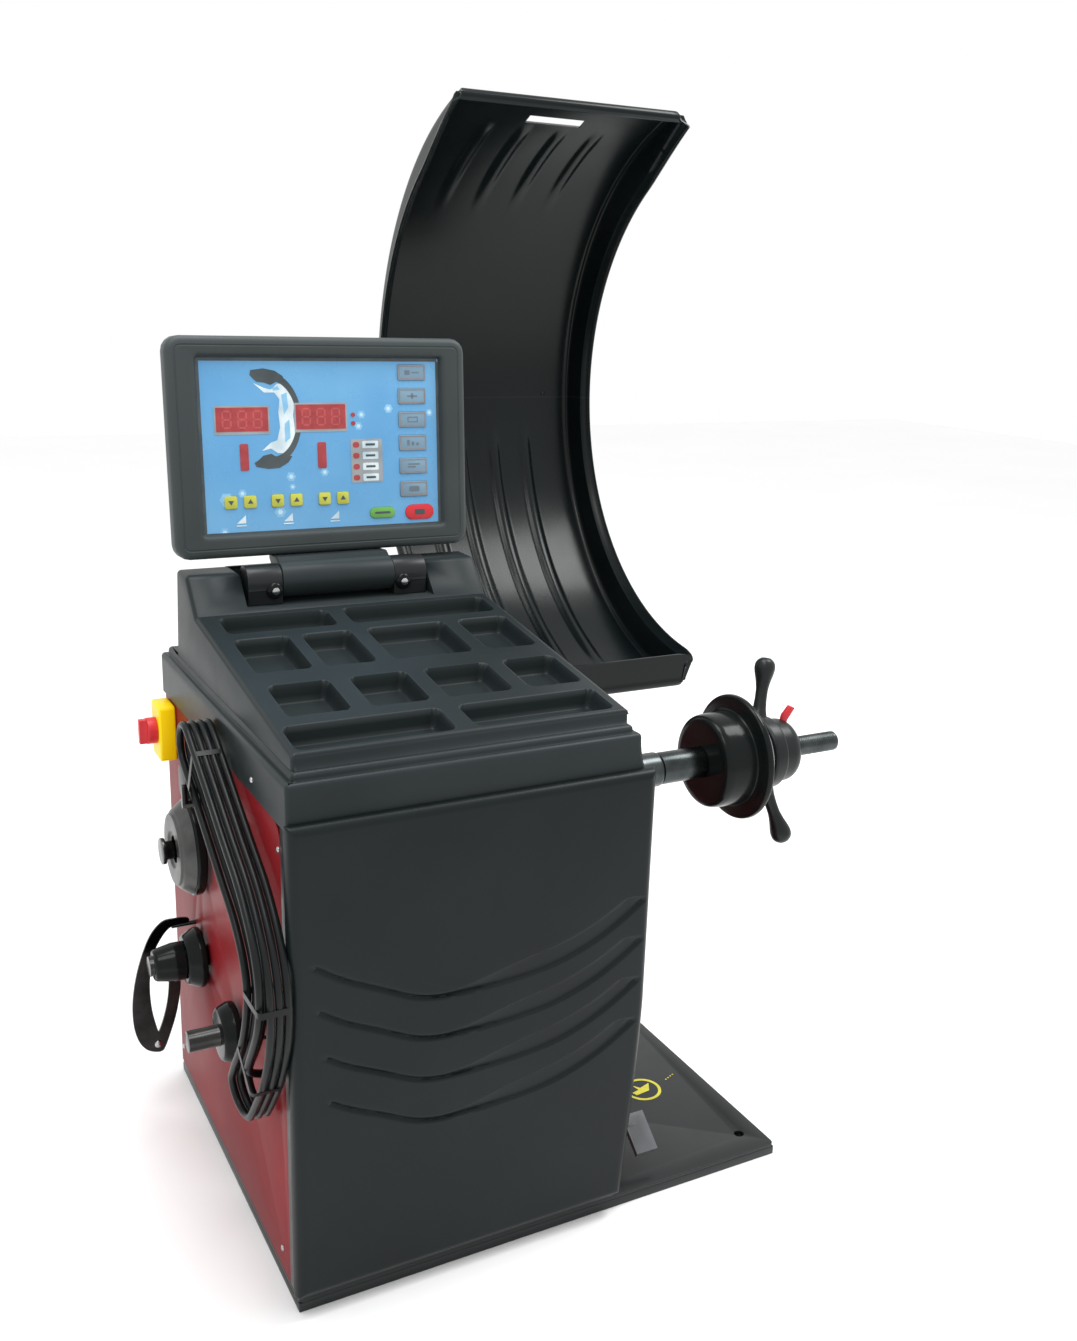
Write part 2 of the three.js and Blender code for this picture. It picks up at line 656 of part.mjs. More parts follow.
function cones() {
  return [
    cone("cone_large", PEGS.large, -280.5, -322, 84, 63, 24),
    cone("cone_medium", PEGS.small, -280.5, -312, 53, 42, 18.2),
    cone("cone_small", PEGS.small, -312.4, -365, 34, 27, 18.2),
    cone("cone_shallow", PEGS.shallow, -280.5, -310, 50, 42, 18.2),
  ];
}

function caliperParts() {
  const { y, thick, x, z } = CALIPER;
  const outer = prism("y", [
    [-289, 408], [-333, 410], [-361, 370], [-385, 298], [-397, 231], [-387, 179], [-366, 152],
    [-340, 150], [-345, 170], [-352, 190], [-359, 261], [-357, 320], [-343, 366], [-322, 394], [-289, 396],
  ], y, y + thick);
  const inner = prism("y", [
    [-366, 152], [-340, 146], [-319, 212], [-305, 279], [-309, 326], [-329, 318], [-328, 254], [-345, 184],
  ], y + thick + GAP, y + 2 * thick + GAP);
  const pin = rod("y", y + thick - 1, y + 2 * thick + 3, 5, [x, z]);
  return [
    part("caliper_arm_outer", outer.add(pin), FINISH.darkSteel),
    part("caliper_arm_inner", inner.subtract(rod("y", y, y + 20, 5.4, [x, z])), FINISH.darkSteel),
  ];
}

// The hank of mains cable: a band with round ends that follows the middle of its turns.
function hankOutline() {
  const curve = new THREE.CatmullRomCurve3(HANK_LINE.map(([y, z]) => new THREE.Vector3(y, z, 0)));
  const steps = 24;
  const sides = [[], []];
  for (let i = 0; i <= steps; i += 1) {
    const at = curve.getPoint(i / steps);
    const along = curve.getTangent(i / steps);
    sides[0].push([at.x - along.y * HANK.halfWidth, at.y + along.x * HANK.halfWidth]);
    sides[1].push([at.x + along.y * HANK.halfWidth, at.y - along.x * HANK.halfWidth]);
  }
  const roundEnd = (t, turn) => {
    const at = curve.getPoint(t);
    const along = curve.getTangent(t);
    const heading = Math.atan2(along.y, along.x) + turn;
    return arcPoints(at.x, at.y, HANK.halfWidth, heading, heading - Math.PI, 10).slice(1, -1);
  };
  return [...sides[0], ...roundEnd(1, Math.PI / 2), ...sides[1].reverse(), ...roundEnd(0, -Math.PI / 2)];
}

function mainsLead() {
  const gland = closedRing([[-282.2, 6.6], [-282.2, 9], [-275.3, 12], [-275.3, 9.5], [-240, 9.5], [-240, 6.6]], 24);
  const plug = union(
    prism("x", roundedRect(30, 78, 690, 742, 12, 3), -322, -290),
    rod("z", 741, 764, 9, [-306, 54], 7, 16),
    box(-309, -303, 42, 46, 674, 692),
    box(-309, -303, 62, 66, 674, 692),
  );
  return [
    part("mains_lead_hank", prism("x", hankOutline(), HANK.from, HANK.to), FINISH.rubber),
    part("cable_gland", gland.translate([0, GLAND.y, GLAND.z]), FINISH.blackPlastic),
    part("mains_plug", plug, FINISH.rubber),
  ];
}

// ---- Foot brake ----
function footPedal() {
  const made = union(
    rod("x", 235, 362, 8, [-200, 90], 8, 20),
    prism("x", [[-196, 82], [-196, 98], [-292, 90], [-292, 70]], 350, 362),
    prism("x", [[-270, 92], [-275, 101], [-330, 58], [-325, 49]], 345, 387),
  );
  return part("foot_pedal", made, FINISH.castIron);
}

const group = new THREE.Group();
group.add(
  ...baseParts(),
  cabinetBody(),
  ...sidePanels(),
  rearPanel(),
  frontPanel(),
  weightTray(),
  trayRows(),
  supportPedestal(),
  placed([...spindleParts(), ...quickNut()], SPINDLE.y, SPINDLE.z),
  placed(motorParts(), MOTOR.y, MOTOR.z),
  driveBelt(),
  powerBoard(),
  placed([...displayParts(), displayHingeArm()], DISPLAY.y, DISPLAY.z, -DISPLAY.tilt),
  placed([displayHingeMount()], DISPLAY.y, DISPLAY.z),
  ...hoodParts(),
  hoodPivotBracket(),
  ...isolatorParts(),
  pegPlate(),
  ...cones(),
  ...caliperParts(),
  ...mainsLead(),
  footPedal(),
);

export default group;
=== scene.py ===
"""A workshop wheel balancer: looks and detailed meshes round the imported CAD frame. Metres, Z up."""
import json
import math

import bmesh
import bpy
from mathutils import Matrix, Vector
from mathutils.geometry import delaunay_2d_cdt


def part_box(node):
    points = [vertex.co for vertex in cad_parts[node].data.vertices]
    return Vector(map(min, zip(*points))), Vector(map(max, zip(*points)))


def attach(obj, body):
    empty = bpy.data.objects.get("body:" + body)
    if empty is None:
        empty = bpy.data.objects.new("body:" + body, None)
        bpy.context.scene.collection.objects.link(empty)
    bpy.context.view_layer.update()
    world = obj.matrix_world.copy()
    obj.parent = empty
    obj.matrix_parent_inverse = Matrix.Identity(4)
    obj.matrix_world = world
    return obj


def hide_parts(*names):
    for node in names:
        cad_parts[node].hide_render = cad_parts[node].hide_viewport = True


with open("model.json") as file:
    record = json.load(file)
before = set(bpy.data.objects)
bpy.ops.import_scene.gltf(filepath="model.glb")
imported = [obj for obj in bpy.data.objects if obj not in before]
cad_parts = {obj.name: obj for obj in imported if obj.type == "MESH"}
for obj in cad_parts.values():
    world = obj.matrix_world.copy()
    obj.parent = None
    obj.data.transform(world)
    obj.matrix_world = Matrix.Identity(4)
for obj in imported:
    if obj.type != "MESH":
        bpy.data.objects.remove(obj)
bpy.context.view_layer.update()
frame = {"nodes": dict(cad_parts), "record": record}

MM = 0.001
BODY_OF = {node: body for body, nodes in frame["record"]["behaviour"]["bodies"].items() for node in nodes}
SLOT_OF = {part["node"]: part["material_slot"] for part in frame["record"]["subparts"]}


# ---- Camera ----
CAMERA_AT = Vector((-0.7806, -2.0362, 1.5019))
YAW, PITCH, ROLL = 0.507, 0.259, 0.032
LENS, SHIFT = 36.05, (-0.0191, -0.0151)


def make_camera():
    data = bpy.data.cameras.new("camera")
    data.lens = LENS
    data.sensor_width = 36
    data.shift_x, data.shift_y = SHIFT
    data.clip_end = 50
    ahead = Vector((math.sin(YAW) * math.cos(PITCH), math.cos(YAW) * math.cos(PITCH), -math.sin(PITCH)))
    level = Vector((math.cos(YAW), -math.sin(YAW), 0))
    upright = level.cross(ahead)
    right = level * math.cos(ROLL) + upright * math.sin(ROLL)
    up = upright * math.cos(ROLL) - level * math.sin(ROLL)
    camera = bpy.data.objects.new("camera", data)
    camera.matrix_world = Matrix((
        (right.x, up.x, -ahead.x, CAMERA_AT.x),
        (right.y, up.y, -ahead.y, CAMERA_AT.y),
        (right.z, up.z, -ahead.z, CAMERA_AT.z),
        (0, 0, 0, 1),
    ))
    bpy.context.scene.collection.objects.link(camera)
    bpy.context.scene.camera = camera


# ---- Materials ----
MATERIALS = {}


def noise(tree, place, scale, detail):
    made = tree.nodes.new("ShaderNodeTexNoise")
    made.inputs["Scale"].default_value = scale
    made.inputs["Detail"].default_value = detail
    tree.links.new(place.outputs["Object"], made.inputs["Vector"])
    return made


def material(name, dark, light, rough=(0.4, 0.5), metal=0.0, grain=(900, 0.12), mottle=6, wear=0.0,
             specular=0.5):
    """A procedural surface: colour mottled between two tones, roughness that varies, a fine bump,
    and, where `wear` is set, edges rubbed lighter."""
    made = bpy.data.materials.new(name)
    MATERIALS[name] = made
    made.use_nodes = True
    tree = made.node_tree
    shader = tree.nodes["Principled BSDF"]
    shader.inputs["Metallic"].default_value = metal
    shader.inputs["Specular IOR Level"].default_value = specular
    place = tree.nodes.new("ShaderNodeTexCoord")
    broad = noise(tree, place, mottle, 4)
    tone = tree.nodes.new("ShaderNodeValToRGB")
    tone.color_ramp.elements[0].position = 0.3
    tone.color_ramp.elements[1].position = 0.7
    tone.color_ramp.elements[0].color = (*dark, 1)
    tone.color_ramp.elements[1].color = (*light, 1)
    tree.links.new(broad.outputs["Fac"], tone.inputs["Fac"])
    colour = tone.outputs["Color"]
    if wear:
        geometry = tree.nodes.new("ShaderNodeNewGeometry")
        edge = tree.nodes.new("ShaderNodeMapRange")
        edge.inputs["From Min"].default_value = 0.52
        edge.inputs["From Max"].default_value = 0.62
        edge.inputs["To Max"].default_value = wear
        tree.links.new(geometry.outputs["Pointiness"], edge.inputs["Value"])
        rubbed = tree.nodes.new("ShaderNodeMix")
        rubbed.data_type = "RGBA"
        rubbed.inputs["B"].default_value = (*[min(1.0, c * 4 + 0.02) for c in light], 1)
        tree.links.new(edge.outputs["Result"], rubbed.inputs["Factor"])
        tree.links.new(colour, rubbed.inputs["A"])
        colour = rubbed.outputs["Result"]
    tree.links.new(colour, shader.inputs["Base Color"])
    spread = tree.nodes.new("ShaderNodeMapRange")
    spread.inputs["To Min"].default_value, spread.inputs["To Max"].default_value = rough
    smear = noise(tree, place, mottle * 3.7, 6)
    tree.links.new(smear.outputs["Fac"], spread.inputs["Value"])
    tree.links.new(spread.outputs["Result"], shader.inputs["Roughness"])
    fine = noise(tree, place, grain[0], 2)
    bump = tree.nodes.new("ShaderNodeBump")
    bump.inputs["Strength"].default_value = grain[1]
    bump.inputs["Distance"].default_value = 0.0004
    tree.links.new(fine.outputs["Fac"], bump.inputs["Height"])
    tree.links.new(bump.outputs["Normal"], shader.inputs["Normal"])
    return made


def brushed(name, dark, light, rough=(0.18, 0.32), across=(4, 160, 160)):
    """Turned or drawn metal: fine streaks that run along the stretched axis of the noise."""
    made = material(name, dark, light, rough, metal=1.0, grain=(60, 0.05), mottle=20)
    tree = made.node_tree
    place = tree.nodes["Texture Coordinate"]
    stretch = tree.nodes.new("ShaderNodeMapping")
    stretch.inputs["Scale"].default_value = across
    tree.links.new(place.outputs["Object"], stretch.inputs["Vector"])
    for node in tree.nodes:
        if node.type == "TEX_NOISE" and node.inputs["Scale"].default_value == 60:
            tree.links.new(stretch.outputs["Vector"], node.inputs["Vector"])
            node.inputs["Scale"].default_value = 8
    return made


def panel_film():
    """The printed film of the display: soft sky blue clouds with pale patches."""
    made = material("panel_film", (0.085, 0.29, 0.54), (0.14, 0.37, 0.61), (0.24, 0.32), grain=(500, 0.03),
                    mottle=5)
    tree = made.node_tree
    tone = tree.nodes["Color Ramp"]
    pale = tone.color_ramp.elements.new(0.95)
    pale.color = (0.28, 0.53, 0.73, 1)
    return made


material("bezel_plastic", (0.026, 0.033, 0.034), (0.037, 0.045, 0.046), (0.42, 0.55),
         grain=(1500, 0.16), mottle=4, wear=0.3, specular=0.25)
material("tray_plastic", (0.011, 0.0155, 0.0165), (0.017, 0.0225, 0.024), (0.34, 0.46),
         grain=(1400, 0.18), mottle=4, wear=0.25, specular=0.16)
material("black_plastic", (0.0035, 0.0060, 0.0063), (0.0055, 0.0090, 0.0094), (0.30, 0.42),
         grain=(1400, 0.20), mottle=5, wear=0.25, specular=0.18)
material("guard_plastic", (0.0022, 0.0042, 0.0046), (0.0040, 0.0066, 0.0070), (0.18, 0.28),
         grain=(240, 0.035), mottle=4, wear=0.2, specular=0.20)
material("black_paint", (0.0050, 0.0065, 0.0070), (0.0090, 0.0110, 0.0115), (0.26, 0.40),
         grain=(700, 0.10), mottle=8, wear=0.35, specular=0.26)
material("black_enamel", (0.0045, 0.0060, 0.0060), (0.0080, 0.0095, 0.0092), (0.13, 0.22),
         grain=(300, 0.03), mottle=9, specular=0.13)
material("red_paint", (0.15, 0.007, 0.010), (0.24, 0.014, 0.018), (0.36, 0.46), grain=(260, 0.05),
         mottle=3, specular=0.07)
brushed("bright_steel", (0.30, 0.31, 0.31), (0.52, 0.53, 0.54))
brushed("shaft_steel", (0.034, 0.040, 0.040), (0.085, 0.094, 0.094), (0.2, 0.32))
brushed("machined_face", (0.06, 0.062, 0.060), (0.11, 0.112, 0.108), (0.3, 0.42))
brushed("dark_steel", (0.025, 0.025, 0.025), (0.06, 0.06, 0.058), (0.16, 0.28))
material("cast_iron", (0.06, 0.065, 0.07), (0.10, 0.105, 0.11), (0.4, 0.6), metal=0.3,
         grain=(420, 0.35), mottle=14, wear=0.3)
material("rubber", (0.0040, 0.0052, 0.0056), (0.0075, 0.0092, 0.0096), (0.26, 0.42), grain=(600, 0.12),
         specular=0.20)
panel_film()
material("grey_key", (0.12, 0.22, 0.31), (0.17, 0.28, 0.37), (0.3, 0.4), grain=(500, 0.05))
material("yellow_plastic", (0.93, 0.60, 0.001), (0.97, 0.68, 0.003), (0.28, 0.40), grain=(500, 0.05),
         specular=0.2)
material("yellow_key", (0.42, 0.44, 0.060), (0.52, 0.53, 0.085), (0.3, 0.4), grain=(500, 0.05),
         specular=0.3)
material("green_plastic", (0.09, 0.30, 0.05), (0.14, 0.38, 0.08), (0.28, 0.38))
material("red_plastic", (0.47, 0.022, 0.030), (0.58, 0.034, 0.042), (0.26, 0.36), specular=0.25)
material("board", (0.02, 0.13, 0.04), (0.04, 0.20, 0.07), (0.35, 0.5), mottle=40)
material("led_red", (0.27, 0.026, 0.032), (0.37, 0.042, 0.047), (0.2, 0.3), mottle=60)
material("led_lit", (0.37, 0.060, 0.062), (0.46, 0.08, 0.075), (0.2, 0.3), mottle=60)
material("white_print", (0.40, 0.52, 0.58), (0.70, 0.78, 0.80), (0.3, 0.4), mottle=30)
material("film_glow", (0.17, 0.41, 0.63), (0.24, 0.48, 0.69), (0.3, 0.4), mottle=60)
material("film_glint", (0.38, 0.60, 0.74), (0.48, 0.68, 0.78), (0.3, 0.4), mottle=60)
material("key_rim", (0.17, 0.15, 0.15), (0.23, 0.20, 0.20), (0.3, 0.4), mottle=30)
material("key_ink", (0.09, 0.12, 0.15), (0.12, 0.16, 0.20), (0.3, 0.4), mottle=30)
material("dark_print", (0.03, 0.045, 0.05), (0.06, 0.075, 0.08), (0.3, 0.4), mottle=30)
material("grey_print", (0.22, 0.24, 0.25), (0.31, 0.33, 0.35), (0.3, 0.4), mottle=30)
material("yellow_print", (0.50, 0.48, 0.03), (0.66, 0.62, 0.05), (0.45, 0.6), mottle=40)
material("floor", (0.96, 0.96, 0.96), (0.98, 0.98, 0.98), (0.75, 0.85), grain=(40, 0.02), mottle=1,
         specular=0.1)


# ---- Meshes ----
def new_piece(name, bm, slot, body, stands_for=(), smooth=32, look=None):
    """A mesh piece in place, with its material, riding on its body."""
    mesh = bpy.data.meshes.new(name)
    bmesh.ops.recalc_face_normals(bm, faces=bm.faces)
    bm.to_mesh(mesh)
    bm.free()
    mesh.shade_smooth()
    mesh.set_sharp_from_angle(angle=math.radians(smooth))
    made = bpy.data.objects.new(name, mesh)
    bpy.context.scene.collection.objects.link(made)
    finish_piece(made, slot, body, stands_for, look or slot)
    return made


def finish_piece(made, slot, body, stands_for, look):
    made.data.materials.append(MATERIALS[look])
    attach(made, body)
    if stands_for:
        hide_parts(*stands_for)


def node_mesh(node):
    """The node's own mesh, with its split vertices merged and its flat faces joined."""
    bm = bmesh.new()
    bm.from_mesh(frame["nodes"][node].data)
    bmesh.ops.remove_doubles(bm, verts=bm.verts, dist=1e-5)
    bmesh.ops.dissolve_limit(bm, angle_limit=math.radians(1), verts=bm.verts, edges=bm.edges)
    return bm


def bevel_edges(bm, edges, width, segments, clamp=True):
    bmesh.ops.bevel(bm, geom=edges, offset=width, segments=segments, profile=0.5, affect="EDGES",
                    clamp_overlap=clamp)


def softened(node, width, segments=3, corner=28, look=None):
    """The node's own shape with its hard edges rounded, as a new piece that stands for it."""
    bm = node_mesh(node)
    hard = [e for e in bm.edges if len(e.link_faces) == 2 and e.calc_face_angle(0) > math.radians(corner)]
    bevel_edges(bm, hard, width, segments)
    return new_piece(f"{node}_detail", bm, SLOT_OF[node], BODY_OF[node], [node], look=look)


def tube_faces(bm, rings, closed=False):
    """Joins rings of vertices into a tube of quads, and the last ring to the first where it is closed."""
    pairs = list(zip(rings, rings[1:]))
    if closed:
        pairs.append((rings[-1], rings[0]))
    for a, b in pairs:
        for i in range(len(a)):
            j = (i + 1) % len(a)
            bm.faces.new((a[i], a[j], b[j], b[i]))


def add_turned(bm, profile, centre, sides=96):
    """Adds a closed body turned about the X axis through `centre`. The profile is [x, radius] in metres."""
    rings = []
    for x, radius in profile:
        ring = []
        for i in range(sides):
            angle = 2 * math.pi * i / sides
            at = (x, centre[0] + radius * math.cos(angle), centre[1] + radius * math.sin(angle))
            ring.append(bm.verts.new(at))
        rings.append(ring)
    tube_faces(bm, rings, closed=profile[0][1] > 1e-6)
    bmesh.ops.remove_doubles(bm, verts=[v for ring in rings for v in ring], dist=1e-6)


def rounded_profile(points, radius=0.002, steps=3):
    """The [x, r] profile with each corner replaced by a short arc. The first and last points stay."""
    made = [points[0]]
    for before, at, after in zip(points, points[1:], points[2:]):
        a, b, c = Vector(before), Vector(at), Vector(after)
        cut = min(radius, (a - b).length * 0.45, (c - b).length * 0.45)
        start, end = b + (a - b).normalized() * cut, b + (c - b).normalized() * cut
        for i in range(steps + 1):
            t = i / steps
            made.append(tuple(start * (1 - t) ** 2 + b * 2 * t * (1 - t) + end * t ** 2))
    return made + [points[-1]]


def turned_piece(name, profile, centre, slot, body, stands_for, radius=0.002, look=None):
    bm = bmesh.new()
    add_turned(bm, rounded_profile(profile, radius), centre)
    return new_piece(name, bm, slot, body, stands_for, look=look)


def add_plate(bm, outline, y_front, y_back, matrix=Matrix.Identity(4)):
    """Adds a flat plate from an (x, z) outline, between two depths along Y."""
    rings = [[bm.verts.new(matrix @ Vector((x, y, z))) for x, z in outline] for y in (y_front, y_back)]
    bm.faces.new(rings[0])
    bm.faces.new(list(reversed(rings[1])))
    count = len(outline)
    for i in range(count):
        j = (i + 1) % count
        bm.faces.new((rings[0][i], rings[1][i], rings[1][j], rings[0][j]))


def rounded_rect(x, z, width, height, radius, steps=5):
    points = []
    for i, (sx, sz) in enumerate(((1, 1), (-1, 1), (-1, -1), (1, -1))):
        cx, cz = x + sx * (width / 2 - radius), z + sz * (height / 2 - radius)
        for k in range(steps + 1):
            angle = math.pi / 2 * (i + k / steps)
            points.append((cx + radius * math.cos(angle), cz + radius * math.sin(angle)))
    return points


def smoothstep(low, high, value):
    t = min(1.0, max(0.0, (value - low) / (high - low)))
    return t * t * (3 - 2 * t)


def along_knots(knots, x):
    """A smooth curve through the (x, y) knots, by Catmull-Rom pieces."""
    if x <= knots[0][0]:
        return knots[0][1]
    if x >= knots[-1][0]:
        return knots[-1][1]
    i = max(k for k in range(len(knots) - 1) if knots[k][0] <= x)
    span = knots[i + 1][0] - knots[i][0]
    t = (x - knots[i][0]) / span

    def slope(k):
        a, b = knots[max(k - 1, 0)], knots[min(k + 1, len(knots) - 1)]
        return (b[1] - a[1]) / (b[0] - a[0]) * span

    y0, y1, m0, m1 = knots[i][1], knots[i + 1][1], slope(i), slope(i + 1)
    return (y0 * (2 * t ** 3 - 3 * t ** 2 + 1) + m0 * (t ** 3 - 2 * t ** 2 + t)
            + y1 * (3 * t ** 2 - 2 * t ** 3) + m1 * (t ** 3 - t ** 2))


def grid_faces(bm, rows):
    """Joins rows of vertices into a sheet of quads."""
    for a, b in zip(rows, rows[1:]):
        for i in range(len(a) - 1):
            bm.faces.new((a[i], a[i + 1], b[i + 1], b[i]))


# ---- Mains cable ----
CABLE = 0.012
HANK_LINE = [(-4, 795), (-105, 742), (-200, 690), (-290, 640), (-345, 580), (-358, 510), (-325, 420),
             (-252, 322)]
FOLD = 0.036
LAYERS = [-0.3268, -0.3142, -0.3016, -0.2890]
GLAND_MOUTH = (-0.2822, -0.292, 0.372)


def hank_centre():
    """Points close together along the middle of the hank, from its top end to its bottom end."""
    knots_y = [(i, p[0] * MM) for i, p in enumerate(HANK_LINE)]
    knots_z = [(i, p[1] * MM) for i, p in enumerate(HANK_LINE)]
    count = 420
    ts = [i * (len(HANK_LINE) - 1) / count for i in range(count + 1)]
    return [Vector((along_knots(knots_y, t), along_knots(knots_z, t))) for t in ts]


def hank_frame():
    """Returns at(s, w): the (y, z) point a length s down the hank and w to its left, and the hank's length."""
    centre = hank_centre()
    lengths = [0.0]
    for a, b in zip(centre, centre[1:]):
        lengths.append(lengths[-1] + (b - a).length)
    total = lengths[-1]

    def at(s, w):
        inside = min(max(s, 0.0), total)
        i = min(range(len(lengths)), key=lambda k: abs(lengths[k] - inside))
        i = min(max(i, 1), len(centre) - 2)
        along = (centre[i + 1] - centre[i - 1]).normalized()
        left = Vector((-along.y, along.x))
        base = centre[i] + along * (s - lengths[i])
        return base + left * w

    return at, total


def cable_route():
    """Four layers of long turns: up on one side, over the top fold, down the other, round the bottom fold."""
    at, total = hank_frame()
    step = 0.014
    start = total - 0.062
    points = []
    rise = GLAND_MOUTH[0] - LAYERS[0]
    for k in range(7):
        angle = math.pi / 2 * k / 6
        y, z = at(start - rise * (1 - math.cos(angle)), 0)
        points.append((GLAND_MOUTH[0] - rise * math.sin(angle), y, z))
    s = start - rise
    merge = 0.20
    while s > step:
        s -= step
        across = -FOLD * smoothstep(0, merge, start - rise - s)
        points.append((LAYERS[0], *at(s, across)))
    folds = 12
    for layer, x in enumerate(LAYERS):
        last = layer == len(LAYERS) - 1
        for k in range(1, folds):
            if last and k > folds * 0.5:
                break
            angle = math.pi * k / folds
            points.append((x, *at(-FOLD * math.sin(angle), -FOLD * math.cos(angle))))
        if last:
            break
        for i in range(1, int(total / step)):
            points.append((x, *at(i * step, FOLD)))
        for k in range(1, folds):
            angle = math.pi * k / folds
            shifted = x + (LAYERS[layer + 1] - x) * smoothstep(0, 1, k / folds)
            points.append((shifted, *at(total + FOLD * math.sin(angle), FOLD * math.cos(angle))))
        for i in range(1, int(total / step)):
            points.append((LAYERS[layer + 1], *at(total - i * step, -FOLD)))
    low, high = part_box("mains_plug")
    entry = Vector(((low.x + high.x) / 2, (low.y + high.y) / 2, high.z + 0.004))
    end = Vector(points[-1])
    heading = (end - Vector(points[-2])).normalized()
    for k in range(1, 6):
        t = k / 5
        blend = end * (1 - t) ** 2 + (end + heading * 0.03) * 2 * t * (1 - t) + entry * t ** 2
        points.append(tuple(blend))
    return points


def make_cable():
    route = cable_route()
    curve = bpy.data.curves.new("mains_lead", "CURVE")
    curve.dimensions = "3D"
    curve.bevel_depth = CABLE / 2
    curve.bevel_resolution = 4
    curve.use_fill_caps = True
    spline = curve.splines.new("POLY")
    spline.points.add(len(route) - 1)
    for point, at in zip(spline.points, route):
        point.co = (*at, 1)
    lead = bpy.data.objects.new("mains_lead", curve)
    bpy.context.scene.collection.objects.link(lead)
    curve.materials.append(MATERIALS["rubber"])
    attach(lead, "machine")
    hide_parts("mains_lead_hank")
    ends = [softened("mains_plug", 0.003), softened("cable_gland", 0.0008, 2, corner=40)]
    ties = [make_tie(i, share) for i, share in enumerate((0.08, 0.66, 0.86))]


def make_tie(index, share):
    """A flat strap round the bundle."""
    at, total = hank_frame()
    s = total * share
    middle, ahead, side = at(s, 0), at(s + 0.002, 0), at(s, 0.001)
    along = Vector((0, *(ahead - middle))).normalized()
    across = Vector((0, *(side - middle))).normalized()
    out = Vector((-1, 0, 0))
    centre = Vector((sum(LAYERS) / 4, *middle))
    outline = rounded_rect(0, 0, 2 * FOLD + CABLE + 0.0002, 0.0504, 0.008)
    bm = bmesh.new()
    half = 0.005
    thickness = 0.0012
    rings = []
    for depth, shrink in ((-half, 0), (half, 0), (half, thickness), (-half, thickness)):
        ring = []
        for u, v in outline:
            scale_u = 1 - shrink / (FOLD + CABLE / 2)
            scale_v = 1 - shrink / 0.0252
            ring.append(bm.verts.new(centre + across * u * scale_u + out * v * scale_v + along * depth))
        rings.append(ring)
    tube_faces(bm, rings, closed=True)
    return new_piece(f"cable_tie_{index + 1}", bm, "rubber", "machine")


# ---- Front cover ----
def cover_right_edge(z):
    return 308 - 32 * max(0.0, 1 - z / 400) ** 1.3 + 3 * max(0.0, (z - 400) / 380)


COVER = {"left": -283, "bottom": 36, "top": 793, "front": -390, "back": -368.6, "round": 15}
GROOVE_SHAPE = [(-252, 94), (-205, 63), (-150, 36), (-90, 8), (-40, 0), (50, 2), (125, 10), (170, 22),
                (215, 40), (255, 62), (294, 88)]
GROOVES = [(488, -253, 298), (421, -246, 296), (352, -238, 293), (282, -232, 289)]
GROOVE_DEPTH = 5.0


def groove_depth(x, z):
    """How far the cover steps in at (x, z): each groove has a ledge that faces up along its lower line,
    and a shallower step along its upper line."""
    deepest = 0.0
    for base, start, end in GROOVES:
        if not start < x < end:
            continue
        above = z - (base + along_knots(GROOVE_SHAPE, x))
        open_width = smoothstep(-60, 120, x) * (1 - smoothstep(end - 40, end, x))
        width = 7 + 21 * open_width
        fade = smoothstep(start, start + 8, x) * (1 - smoothstep(end - 8, end, x))
        ledge, lip = 3.2, 2.4
        if -ledge < above <= 0:
            deepest = max(deepest, GROOVE_DEPTH * fade * (1 + above / ledge))
        elif 0 < above < width:
            floor = GROOVE_DEPTH - (GROOVE_DEPTH - 2.6 * open_width) * above / width
            deepest = max(deepest, floor * fade)
        elif width <= above < width + lip:
            deepest = max(deepest, 2.6 * open_width * fade * (1 - (above - width) / lip))
    return deepest


def steps_between(low, high, step):
    count = max(1, round((high - low) / step))
    return [low + (high - low) * i / count for i in range(count)]


def make_front_cover():
    edge = COVER["round"]
    heights = (steps_between(COVER["bottom"], COVER["bottom"] + edge, 2.2)
               + steps_between(COVER["bottom"] + edge, 270, 18) + steps_between(270, 620, 1.2)
               + steps_between(620, COVER["top"] - edge, 18)
               + steps_between(COVER["top"] - edge, COVER["top"], 1.6) + [COVER["top"]])
    shares = (steps_between(0, 0.022, 0.0035) + steps_between(0.022, 0.978, 0.0085)
              + steps_between(0.978, 1, 0.0035) + [1.0])
    bm = bmesh.new()
    rows = []
    for z in heights:
        row = []
        for share in shares:
            left, right = COVER["left"], cover_right_edge(z)
            x = left + (right - left) * share
            near = min(x - left, right - x, z - COVER["bottom"], COVER["top"] - z)
            inset = edge - math.sqrt(max(0.0, edge ** 2 - (edge - near) ** 2)) if near < edge else 0.0
            bow = 2.0 * smoothstep(0, 1, min(1, near / 120)) - 2.0
            y = COVER["front"] + inset - bow * 0.6 + groove_depth(x, z)
            row.append(bm.verts.new((x * MM, y * MM, z * MM)))
        rows.append(row)
    grid_faces(bm, rows)
    rim = [e for e in bm.edges if e.is_boundary]
    made = bmesh.ops.extrude_edge_only(bm, edges=rim)
    for v in (g for g in made["geom"] if isinstance(g, bmesh.types.BMVert)):
        v.co.y = (-372.4 if v.co.z > 0.7796 else COVER["back"]) * MM
    new_piece("front_cover", bm, "black_plastic", "machine", ["front_panel"], smooth=50)


